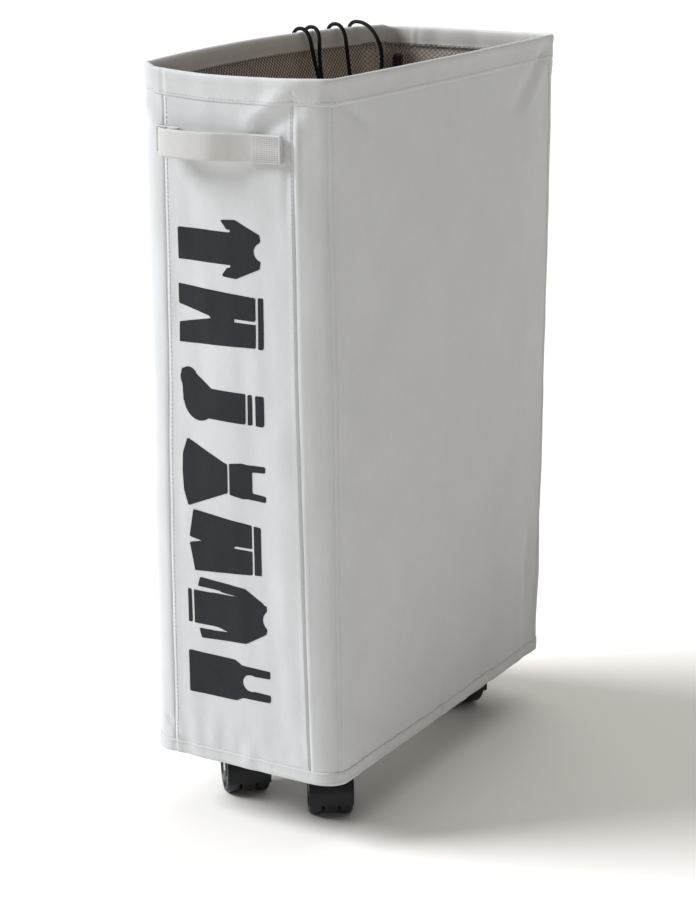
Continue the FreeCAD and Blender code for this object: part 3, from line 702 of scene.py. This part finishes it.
def trousers(p, q):
    m = np.abs(p)
    leg = inside_convex(m, q, [(6, -35), (19, -35), (16, 31), (-2, 31), (-2, 6)])
    band = bar(m, q, (-9, 31), (16.5, 35.5))
    line, fly = bar(m, q, (-4, 29.4), (18, 31.2)), bar(m, q, (-1, 12), (1.0, 29))
    return without(joined(leg, band), line, fly)


def sock(p, q):
    leg = bar(p, q, (-9, -14), (11, 35))
    instep = inside_convex(p, q, [(-20, -34), (2, -33), (11, -14), (-9, -8), (-17, -21)])
    foot = joined(inside_disc(p, q, 0, -19, 13.5), instep, inside_disc(p, q, -13.5, -27.5, 7.5))
    stripes = bar(p, q, (-12, 25.5), (12, 28.0)), bar(p, q, (-12, 20.0), (12, 21.6))
    return without(joined(leg, foot), *stripes)


def dress(p, q):
    m = np.abs(p)
    top = inside_convex(m, q, [(-5, -2), (9.5, 2), (11.5, 16), (10.5, 24), (-5, 24)])
    strap = inside_convex(m, q, [(6.5, 20), (11.0, 20), (11.5, 35), (7.5, 35)])
    skirt = inside_convex(m, q, [(-5, -35), (12, -34), (22, -30), (9.5, 3), (-5, 4)])
    belt = bar(m, q, (-9, 4.0), (30, 5.6))
    return without(joined(top, strap, skirt), belt)


def shorts(p, q):
    m = np.abs(p)
    leg = inside_convex(m, q, [(2, -30), (22, -26), (17.0, 30), (-2, 30), (-2, -8)])
    band = bar(m, q, (-9, 23), (17.0, 30))
    line, fly = bar(m, q, (-4, 22.6), (18, 24.2)), bar(m, q, (-1, 8), (0.9, 23))
    return without(joined(leg, band), line, fly)


def jumper(p, q):
    m = np.abs(p)
    body = inside_convex(m, q, [(-5, -33), (12.0, -33), (11.5, 20), (10, 33), (-5, 35)])
    sleeve = inside_convex(m, q, [(15.0, -24), (21.8, -22), (19.5, 16), (10.0, 33), (9.0, 22)])
    hem = bar(m, q, (-9, -29.6), (12.5, -27.8))
    gap = inside_convex(m, q, [(12.4, -40), (15.0, -40), (14.8, -10), (13.0, 14)])
    return without(joined(body, sleeve), inside_disc(p, q, 0, 37, 7.0), hem, gap)


def vest(p, q):
    m = np.abs(p)
    body = inside_convex(m, q, [(-5, -34), (18, -34), (17.5, 6), (12.0, 15), (-5, 15)])
    strap = inside_convex(m, q, [(6.0, 10), (14, 8), (13.5, 35), (7.0, 35)])
    return without(joined(body, strap), inside_disc(p, q, 0, 19, 7.0))


# The garments lie on their side, their tops towards +X: each with its upper and lower height on the panel
PRINT_MIDDLE_X = -0.0095
PRINTED = [(tee, 0.4480, 0.4075), (trousers, 0.4030, 0.3540), (sock, 0.3425, 0.2935),
           (dress, 0.2900, 0.2390), (shorts, 0.2380, 0.1910), (jumper, 0.1880, 0.1400),
           (vest, 0.1335, 0.0930)]
SHAPE_HALF_WIDTH, SHAPE_MM = 22.5, 0.001
INK_OVER_CLOTH = 0.00016


def print_depth(x, z):
    """How far inside the printed shapes a point of the front panel is, in metres."""
    depth = np.full(x.shape, -1.0)
    for shape, top, bottom in PRINTED:
        scale = (top - bottom) / (2 * SHAPE_HALF_WIDTH)
        p = ((top + bottom) / 2 - z) / scale
        q = (x - PRINT_MIDDLE_X) / SHAPE_MM
        depth = np.maximum(depth, shape(p, q) * SHAPE_MM)
    return depth


def make_print(points, normals):
    """The printed shapes, cut out of the front panel's own surface and laid just over it."""
    rows, columns = points.shape[:2]
    depth = print_depth(points[..., 0], points[..., 2]).reshape(-1)
    flat = (points + normals * INK_OVER_CLOTH).reshape(-1, 3)
    quads = grid_faces(rows, columns)
    triangles = np.concatenate([quads[:, [0, 1, 2]], quads[:, [0, 2, 3]]])
    triangles = triangles[depth[triangles].max(axis=1) > 0]
    kept, faces, made = [], [], {}

    def corner(key, place):
        if key not in made:
            made[key] = len(kept)
            kept.append(place)
        return made[key]

    for triangle in triangles:
        outline = []
        for a, b in zip(triangle, np.roll(triangle, -1)):
            if depth[a] > 0:
                outline.append(corner((a, a), flat[a]))
            if (depth[a] > 0) != (depth[b] > 0):
                t = depth[a] / (depth[a] - depth[b])
                outline.append(corner((min(a, b), max(a, b)), flat[a] + (flat[b] - flat[a]) * t))
        if len(outline) > 2:
            faces.append(outline)
    return piece("garment_print", kept, faces, INK, slot="print")


# --- net collar

NET_CORNER_R, NET_FROM_CLOTH = 0.039, 0.0050
NET_CELL, NET_THREAD, NET_HEIGHT, NET_SIDES = 0.0035, 0.00024, 0.0995, 3


def clear_of_rods(points):
    """The same points moved inward at the corners, to pass inside the ends of the rods."""
    corner_middle = np.array([HALF_X_RIM, HALF_Y_RIM]) - NET_FROM_CLOTH - NET_CORNER_R
    beyond = np.abs(points[..., :2]) - corner_middle
    distance = np.maximum(np.hypot(beyond[..., 0], beyond[..., 1]), 1e-6)
    share = smooth_step(0.0, 0.012, np.min(beyond, axis=-1))
    scale = lerp(1.0, np.minimum(1.0, (NET_CORNER_R - 0.0010) / distance), share)
    inside = np.sign(points[..., :2]) * (corner_middle + beyond * scale[..., None])
    moved = np.array(points)
    moved[..., :2] = np.where(share[..., None] > 0.0, inside, points[..., :2])
    return moved


def channel_line(s):
    """The middle of the drawstring's channel, and its outward directions, in plan."""
    return ring(s, CHANNEL_HALF, [(CHANNEL_CORNER, CHANNEL_CORNER)] * 4, [0.0] * 4)


def collar_point(s, fall):
    """A point on the net collar: fall 0 under the top hem, 1 at its drawstring channel."""
    top = skin_at(s, drop=TOP_HEM_INSIDE - 0.0030, out=np.full(s.shape, -0.0031))[0]
    top = lerp(top, clear_of_rods(top), smooth_step(0.0, 0.085, fall)[..., None])
    plan, away = channel_line(s)
    low = raised(plan + away * 0.0004, CHANNEL_Z + CHANNEL_R * 0.6)
    points = lerp(top, low, fall[..., None])
    gathers = (np.sin(s * 41.0 + 1.7 * np.sin(s * 5.3)) * 0.5 + np.sin(s * 67.0 + 2.1) * 0.3) * 0.0022
    shift = np.sin(math.pi * fall) * 0.0024
    shift += gathers * smooth_step(0.15, 1.0, fall) + 0.0009 * smooth_step(0.0, 0.12, fall)
    return points - raised(away) * shift[..., None]


def make_net():
    """A knitted net of wavy upright threads that meet their neighbours left and right by turns."""
    rows = int(NET_HEIGHT / (NET_CELL * 0.5)) + 1
    fall = np.linspace(0.0, 1.0, rows)
    for side, name in enumerate(SIDES):
        line = np.linspace(2 * side - 0.5, 2 * side + 1.5, 500)
        travelled = distances(collar_point(line, np.full(line.shape, 0.4)))
        length = float(travelled[-1])
        count = int(length / (NET_CELL * 0.5)) // 2 * 2
        turns = np.arange(rows)[:, None] + np.arange(count)[None, :]
        sway = np.where(turns % 2 == 0, 0.43, -0.43)
        s = np.interp((np.arange(count) + 0.5 + sway) / count * length, travelled, line)
        levels = np.broadcast_to(fall[:, None], s.shape)
        centre = collar_point(s, levels)
        forward = unit(np.gradient(centre, axis=0))
        out = unit(np.cross(forward, unit(collar_point(s + 0.002, levels) - centre)))
        across = np.cross(out, forward)
        around = [centre + NET_THREAD * (across * math.cos(angle) * 1.25 + out * math.sin(angle))
                  for angle in circle(NET_SIDES)]
        points = np.stack(around, 2).transpose(1, 0, 2, 3)
        faces = [grid_faces(rows, NET_SIDES, k * rows * NET_SIDES, around=True) for k in range(count)]
        net = piece(name + "_net", points, np.concatenate(faces), NET, slot="net", replaced=["mesh_collar"])


def make_channel():
    """The gathered cloth tube at the net's lower edge, closed round the drawstring."""
    s = np.linspace(0.0, 8.0, 900, endpoint=False)
    plan, away = channel_line(s)
    points = []
    for angle in circle(12):
        pucker = 1.0 + 0.13 * np.sin(s * 95.0 + 2.0 * np.sin(s * 7.0) + 1.3 * math.sin(angle))
        radius = ((CHANNEL_R - 0.0002) * pucker)[:, None]
        points.append(raised(plan, CHANNEL_Z) + raised(away) * radius * math.cos(angle)
                      + UP * radius * math.sin(angle))
    faces = grid_faces(len(points) + 1, len(s), around=True) % (len(points) * len(s))
    piece("drawstring_channel", points, faces, NET_TAPE, slot="net", replaced=["collar_channel"])


# --- cord

# Loop of drawstring thrown over the left rim: from the cord lock, over and back twice, to the lock.
TAIL_ROUTE = [
    (-0.056, 0.06, 0.4586), (-0.056, 0.06, 0.476), (-0.067, 0.0585, 0.499), (-0.0765, 0.0595, 0.527),
    (-0.0812, 0.059, 0.5495), (-0.0954, 0.059, 0.5495), (-0.0955, 0.058, 0.526), (-0.0954, 0.0545, 0.497),
    (-0.0954, 0.0505, 0.473), (-0.0953, 0.058, 0.455), (-0.0953, 0.074, 0.453), (-0.0953, 0.0835, 0.47),
    (-0.0953, 0.078, 0.495), (-0.095, 0.0745, 0.524), (-0.095, 0.074, 0.5495), (-0.0798, 0.0735, 0.5495),
    (-0.077, 0.068, 0.526), (-0.071, 0.0655, 0.501), (-0.0655, 0.07, 0.48), (-0.0625, 0.082, 0.468),
    (-0.062, 0.095, 0.473), (-0.066, 0.1015, 0.493), (-0.0713, 0.1025, 0.522), (-0.0754, 0.103, 0.5495),
    (-0.0912, 0.1035, 0.5495), (-0.091, 0.104, 0.526), (-0.09, 0.105, 0.5), (-0.0894, 0.109, 0.478),
    (-0.089, 0.12, 0.47), (-0.0886, 0.1295, 0.48), (-0.088, 0.1315, 0.502), (-0.0874, 0.13, 0.527),
    (-0.0868, 0.129, 0.5495), (-0.07, 0.1275, 0.5495), (-0.0575, 0.1245, 0.539), (-0.0555, 0.1295, 0.523),
    (-0.0555, 0.125, 0.503), (-0.056, 0.109, 0.491), (-0.057, 0.088, 0.488), (-0.056, 0.068, 0.484),
    (-0.056, 0.068, 0.4586),
]


def make_cord():
    """The braided cord of the loop, as a smooth curve with a round section."""
    curve = bpy.data.curves.new("drawstring_tail", "CURVE")
    curve.dimensions = "3D"
    spline = curve.splines.new("NURBS")
    spline.points.add(len(TAIL_ROUTE) - 1)
    for point, place in zip(spline.points, TAIL_ROUTE):
        point.co = (*place, 1.0)
    spline.order_u = 3
    spline.use_endpoint_u = True
    spline.resolution_u = 8
    curve.bevel_depth = CORD_R
    curve.bevel_resolution = 4
    curve.materials.append(CORD)
    cord = linked("drawstring_tail", curve)
    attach(cord, "basket")
    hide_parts("drawstring_loop")
    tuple(TAIL_ROUTE[0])


# --- handles

HANDLE_X, HANDLE_Z = -0.008, 0.498
STRAP_WIDTH, STRAP_CLOTH, STRAP_PAD = 0.019, 0.0016, 0.0002
# Lines in plan: (along the panel from the handle's middle, out of the panel), to the cloth's middle.
STRAP_LINE = [(-0.0378, 0.0066), (-0.0410, 0.0092), (-0.0385, 0.0130), (-0.0300, 0.0150),
              (-0.0150, 0.01536), (0.0, 0.0138), (0.0100, 0.0102), (0.0160, 0.0076), (0.0225, 0.0053),
              (0.0285, 0.0037), (0.0340, 0.0032), (0.0505, 0.0032)]
STRAP_FIXED_FROM, STRAP_FREE_FROM = 0.016, 0.004
FAR_PART_LENGTH = 0.0105
NEAR_TAB_LINE = [(0.0176, 0.0060), (0.0225, 0.0034), (0.0285, 0.0018), (0.0340, 0.00145), (0.0505, 0.00145)]
FAR_TAB_LINE = [(-0.0505, 0.00145), (-0.0380, 0.00145), (-0.0314, 0.0017), (-0.0296, 0.0036),
                (-0.0326, 0.0056), (-0.0366, 0.0062)]
SQUARE_HALF, SQUARE_ROWS = 0.0082, 13


def smooth_line(points, count):
    """Evenly spread points on a smooth line through a few."""
    points = np.array(points, float)
    at = distances(points)
    padded = np.concatenate([2 * points[:1] - points[1:2], points, 2 * points[-1:] - points[-2:-1]])
    result = []
    for d in np.linspace(0.0, at[-1], count):
        i = min(int(np.searchsorted(at, d, side="right")) - 1, len(points) - 2)
        t = (d - at[i]) / (at[i + 1] - at[i])
        p0, p1, p2, p3 = padded[i:i + 4]
        result.append(0.5 * ((2 * p1) + (p2 - p0) * t + (2 * p0 - 5 * p1 + 4 * p2 - p3) * t * t
                             + (3 * p1 - p0 - 3 * p2 + p3) * t ** 3))
    return np.array(result)


def panel_plane(side, x):
    """How far out the front or back panel is at the handle, without its folds."""
    half, _, bows = body_shape((HANDLE_Z - HEM_Z) / HEIGHT)
    return half[1] + bows[side] * (1.0 - (x / half[0]) ** 2)


def strip_frame(line, side):
    """Middle line and outward directions of a handle's strip."""
    x = HANDLE_X + line[:, 0]
    out = panel_plane(side, x) + line[:, 1]
    turn = 1.0 if side == 0 else -1.0
    middle = np.stack([turn * x, -turn * out, np.full(x.shape, HANDLE_Z)], -1)
    return middle, unit(np.cross(unit(np.gradient(middle, axis=0)), UP))


def cloth_strip(middle, normal, width):
    """Points and faces of a closed strip of webbing with turned, slightly padded edges."""
    half, skinned = width / 2, STRAP_CLOTH / 2
    outer = [(half, 0.0), (half - 0.0003, 0.7), (half - 0.0010, 1.0), (half - 0.0024, 1.0),
             (half - 0.0045, 1.05)]
    inner = [(half - 0.0003, -0.7), (half - 0.0012, -1.1), (half - 0.0045, -1.0)]
    profile = [(-z, out) for z, out in outer] + [(0.0, 1.0 + STRAP_PAD / skinned)] + outer[::-1]
    profile += inner + [(0.0, -1.0)] + [(-z, out) for z, out in inner[::-1]]
    points = np.stack([middle + UP * z + normal * (skinned * out) for z, out in profile], 1)
    faces = grid_faces(len(middle), len(profile), around=True, flip=True)
    first = np.arange(len(profile))
    caps = [list(first), list(first[::-1] + (len(middle) - 1) * len(profile))]
    return points.reshape(-1, 3), [list(f) for f in faces] + caps


def webbing_piece(name, parts, **facts):
    """One mesh from the points and faces of a strip and, where it is sewn down, of its stitches."""
    points, faces, indices = [], [], []
    for number, (part_points, part_faces) in enumerate(parts):
        first = sum(len(p) for p in points)
        points.append(np.asarray(part_points))
        faces += [[int(i) + first for i in f] for f in part_faces]
        indices += [number] * len(part_faces)
    made = piece(name, np.concatenate(points), faces, WEBBING, slot="webbing", **facts)
    made.data.materials.append(DARK_THREAD)
    for face, index in zip(made.data.polygons, indices):
        face.material_index = index
        face.use_smooth = len(face.vertices) == 4
    return made


def make_handle(side, label):
    """A slack strap over two tabs, in a far part that curls at its end and a near part sewn over the near
    tab.
    """
    line = smooth_line(STRAP_LINE, 121)
    middle, normal = strip_frame(line, side)
    bend = int(np.searchsorted(distances(middle), FAR_PART_LENGTH))
    turn = 1.0 if side == 0 else -1.0
    surface = panel_plane(side, HANDLE_X)

    def place(along, out):
        return turn * (HANDLE_X + along), -turn * (surface + out), HANDLE_Z

    square = sewn_square(side, 0.0300, 0.0495, 0.0032)
    far = ("far", slice(0, bend + 1), [], [], place(*line[0]), place(line[0, 0], line[bend, 1] - 0.001))
    near = ("near", slice(bend, None), [square], [label + "_handle_tabs"], place(STRAP_FIXED_FROM, 0.0),
            place(STRAP_FREE_FROM, 0.0))
    for name, chosen, sewn, tabs, fixed, free in (far, near):
        strip = cloth_strip(middle[chosen], normal[chosen], STRAP_WIDTH)
        part = webbing_piece("%s_strap_%s_part" % (label, name), [strip] + sewn, body=None,
                             replaced=[label + "_handle_strap"] + tabs)
        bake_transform(part)
        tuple(fixed)
        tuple(free)
        length = float(distances(middle[chosen])[-1])
    far = ("far", FAR_TAB_LINE, [sewn_square(side, -0.0500, -0.0385, 0.00145)], 0.029)
    for name, route, sewn, length in (("near", NEAR_TAB_LINE, [], 0.036), far):
        strip = cloth_strip(*strip_frame(smooth_line(route, 40), side), STRAP_WIDTH - 0.0008)
        tab = webbing_piece("%s_tab_%s" % (label, name), [strip] + sewn, replaced=[label + "_handle_tabs"])


def sewn_square(side, start, end, out):
    """Dense rows of short stitches where a strap or a tab is fastened."""
    along = np.linspace(start, end, 30)
    middle, normal = strip_frame(np.stack([along, np.full(along.shape, out)], -1), side)
    over = middle + normal * (STRAP_CLOTH / 2 + 0.0001)
    lines = [(over + UP * z, normal) for z in np.linspace(-SQUARE_HALF, SQUARE_HALF, SQUARE_ROWS)]
    return stitch_meshes(lines, pitch=0.0019, length=0.0013, radius=0.00024)


# --- base

SOCKET_HOLE_R = 0.0072


def make_base():
    """The cloth under the board, with a round hole for each caster socket."""
    low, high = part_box("base_fabric")
    s = np.linspace(0.0, 8.0, 720, endpoint=False)
    rim, away = ring(s, *body_shape(np.full(s.shape, 0.004)))
    shares = np.concatenate([np.linspace(0.0, 0.9, 34), np.linspace(0.93, 1.0, 5)])
    plan = (rim - away * (FABRIC + 0.0003))[None, :, :] * shares[::-1, None, None]
    sag = 0.00035 * ripples(raised(plan), 0.05, 31)
    top = raised(plan, high.z - 0.0002)
    bottom = raised(plan, low.z + 0.0001 + np.minimum(sag, 0.0))
    rows, columns = plan.shape[:2]
    count, edge = rows * columns, np.arange(columns)
    faces = np.concatenate([grid_faces(rows, columns, around=True, flip=True),
                            grid_faces(rows, columns, count, around=True), bridge(edge, edge + count)])
    points = np.concatenate([top.reshape(-1, 3), bottom.reshape(-1, 3)])
    centres = points[faces].mean(axis=1)
    keep = np.ones(len(faces), bool)
    for corner in CORNERS:
        start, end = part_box("caster_socket_" + corner)
        place = (start + end) / 2
        keep &= np.hypot(centres[:, 0] - place.x, centres[:, 1] - place.y) > SOCKET_HOLE_R
    piece("base_cloth", points, faces[keep], HEM, replaced=["base_fabric"])


# --- rod pockets

POCKET_FOOT_Z, POCKET_TOP_Z = 0.072, 0.508
ROD_INSET = 0.0111
POCKET_R, POCKET_HOLLOW = 0.0052, 2.0 / 3.0
# How far a round corner's middle is from the sharp corner, as a share of its reach along each side
CORNER_CUT = 0.293


def make_pockets():
    """The cloth tube round each corner rod, drawn out to the corner that it is sewn into."""
    z = np.linspace(POCKET_FOOT_Z, POCKET_TOP_Z, 90)
    half, reaches, _ = body_shape((z - HEM_Z) / HEIGHT)
    for corner, (before, after) in zip(CORNERS, reaches):
        quarter = np.array([1.0 if corner.endswith("r") else -1.0, -1.0 if corner.startswith("f") else 1.0])
        centre = raised(quarter * (np.stack(half, -1) - ROD_INSET), z)
        room = np.hypot(ROD_INSET - CORNER_CUT * before, ROD_INSET - CORNER_CUT * after) - 0.0014
        rings = []
        for angle in circle(20):
            direction = np.array([math.cos(angle), math.sin(angle)])
            stretch = 1.0 + 0.25 * max(0.0, float(direction @ quarter) / math.sqrt(2.0)) ** 4
            wave = 1.0 + 0.035 * np.sin(z * 90.0 + 3.0 * angle) + 0.02 * np.sin(z * 260.0)
            radius = np.minimum(POCKET_R * stretch * wave, room)
            rings.append(centre + raised(direction * radius[:, None]))
        outer = np.stack(rings, 1)
        inner = lerp(centre[:, None, :], outer, POCKET_HOLLOW)
        rows, around = outer.shape[:2]
        count = rows * around
        foot = np.arange(around)
        top = foot + (rows - 1) * around
        faces = [grid_faces(rows, around, around=True),
                 grid_faces(rows, around, count, around=True, flip=True),
                 bridge(foot, foot + count)[:, ::-1], bridge(top, top + count)]
        piece("rod_pocket_" + corner, np.stack([outer, inner]), np.concatenate(faces), LINING)


# --- spring of the cord lock

SPRING_FOOT = np.array([-0.056, 0.0535, 0.452])
SPRING_LENGTH, SPRING_R, SPRING_WIRE_R, SPRING_TURNS = 0.007, 0.0032, 0.00036, 3.0
SPRING_GAP = 0.00042


def make_spring():
    """The coil behind the cord lock's button."""
    turn = np.linspace(0.0, 2 * math.pi * SPRING_TURNS, 100)
    along = np.linspace(SPRING_GAP, SPRING_LENGTH - SPRING_GAP, len(turn))
    backwards = np.array([0.0, 1.0, 0.0])
    outwards = np.stack([np.cos(turn), 0 * turn, np.sin(turn)], -1)
    middle = SPRING_FOOT + outwards * SPRING_R + along[:, None] * backwards
    rings = [middle + SPRING_WIRE_R * (math.cos(angle) * outwards + math.sin(angle) * backwards)
             for angle in circle(8)]
    points = np.concatenate([np.stack(rings, 1).reshape(-1, 3), middle[[0, -1]]])
    faces = grid_faces(len(turn), len(rings), around=True).tolist()
    last = (len(turn) - 1) * len(rings)
    for k in range(len(rings)):
        following = (k + 1) % len(rings)
        faces.append((len(points) - 2, following, k))
        faces.append((len(points) - 1, last + k, last + following))
    spring = piece("lock_coil", points, faces, STEEL, slot="rod_steel", replaced=["cord_lock_spring"])
    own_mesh(spring)


# --- materials of the CAD nodes


def finish_nodes():
    """Gives each CAD node the material of the last word here that its name holds."""
    finishes = {"hood": BLACK_PLASTIC, "wheel": WHEEL_PLASTIC, "axle": STEEL, "stem": STEEL,
                "socket": BLACK_PLASTIC, "rivet": STEEL, "rod": STEEL, "caps": BLACK_PLASTIC,
                "feet": BLACK_PLASTIC, "board": BOARD, "lock": BLACK_PLASTIC, "drawstring": CORD}
    for name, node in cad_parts.items():
        for word, material in finishes.items():
            if word in name:
                node.data.materials.clear()
                node.data.materials.append(material)


# --- studio

FLOOR_REACH = 9.0


def sun(name, towards_it, strength, softness, colour):
    """A broad, even light from a direction; strength is what a surface square to it sends back."""
    light = bpy.data.lights.new(name, "SUN")
    light.energy = strength * math.pi
    light.angle = math.radians(softness)
    light.color = colour
    linked(name, light).rotation_euler = Vector(towards_it).to_track_quat("Z", "Y").to_euler()


def make_studio():
    """A wide pale floor, three broad lights, a weak even glow and a pale backdrop behind it all."""
    mesh = bpy.data.meshes.new("floor")
    mesh.from_pydata([(FLOOR_REACH * x, FLOOR_REACH * y, 0) for x, y in ((-1, -1), (1, -1), (1, 1), (-1, 1))],
                     [], [(0, 1, 2, 3)])
    material, _, _ = node_material("pale_floor", (0.92, 0.90, 0.865), 0.9, Specular_IOR_Level=0.1)
    mesh.materials.append(material)
    floor = linked("floor", mesh)
    world = bpy.data.worlds.new("soft_white")
    bpy.context.scene.world = world
    world.use_nodes = True
    nodes, links = world.node_tree.nodes, world.node_tree.links
    glow = nodes["Background"]
    glow.inputs["Color"].default_value = (1.0, 0.975, 0.94, 1.0)
    glow.inputs["Strength"].default_value = 0.20
    backdrop = nodes.new("ShaderNodeBackground")
    backdrop.inputs["Color"].default_value = (0.95, 0.94, 0.92, 1.0)
    seen, choice = nodes.new("ShaderNodeLightPath"), nodes.new("ShaderNodeMixShader")
    links.new(seen.outputs["Is Camera Ray"], choice.inputs["Fac"])
    links.new(glow.outputs["Background"], choice.inputs[1])
    links.new(backdrop.outputs["Background"], choice.inputs[2])
    links.new(choice.outputs["Shader"], nodes["World Output"].inputs["Surface"])
    sun("key", (-0.70, -0.38, 0.62), 1.24, 30.0, (0.965, 0.99, 1.035))
    sun("back", (-0.05, 0.45, 1.0), 0.34, 60.0, (1.0, 0.98, 0.95))
    sun("fill", (1.0, -0.20, 0.30), 0.02, 40.0, (1.0, 0.82, 0.60))
    bpy.context.scene.view_settings.view_transform = "Standard"


CAMERA_TARGET = Vector((-0.0121, 0.0026, 0.2348))
CAMERA_AZIMUTH, CAMERA_ELEVATION, CAMERA_ROLL = (math.radians(angle) for angle in (30.0, 16.22, 0.27))
CAMERA_DISTANCE = 1.773
CAMERA_LENS, SENSOR = 91.4, 36.0


def make_camera():
    data = bpy.data.cameras.new("camera")
    data.lens = CAMERA_LENS
    data.sensor_width = SENSOR
    camera = linked("camera", data)
    back = Vector((math.sin(CAMERA_AZIMUTH) * math.cos(CAMERA_ELEVATION),
                   -math.cos(CAMERA_AZIMUTH) * math.cos(CAMERA_ELEVATION), math.sin(CAMERA_ELEVATION)))
    turn = Matrix.Rotation(CAMERA_AZIMUTH, 4, "Z") @ Matrix.Rotation(math.pi / 2 - CAMERA_ELEVATION, 4, "X")
    camera.matrix_world = (Matrix.Translation(CAMERA_TARGET + back * CAMERA_DISTANCE) @ turn
                           @ Matrix.Rotation(CAMERA_ROLL, 4, "Z"))
    bpy.context.scene.camera = camera


# --- build

make_camera()
make_studio()
make_cord()
panels = make_panels()
strips = make_strips()
hems = make_hems()
stitches = make_stitches()
printed = make_print(*panels["front"][1:])
make_net()
make_channel()
make_handle(0, "front")
make_handle(2, "back")
make_base()
make_pockets()
make_spring()
finish_nodes()
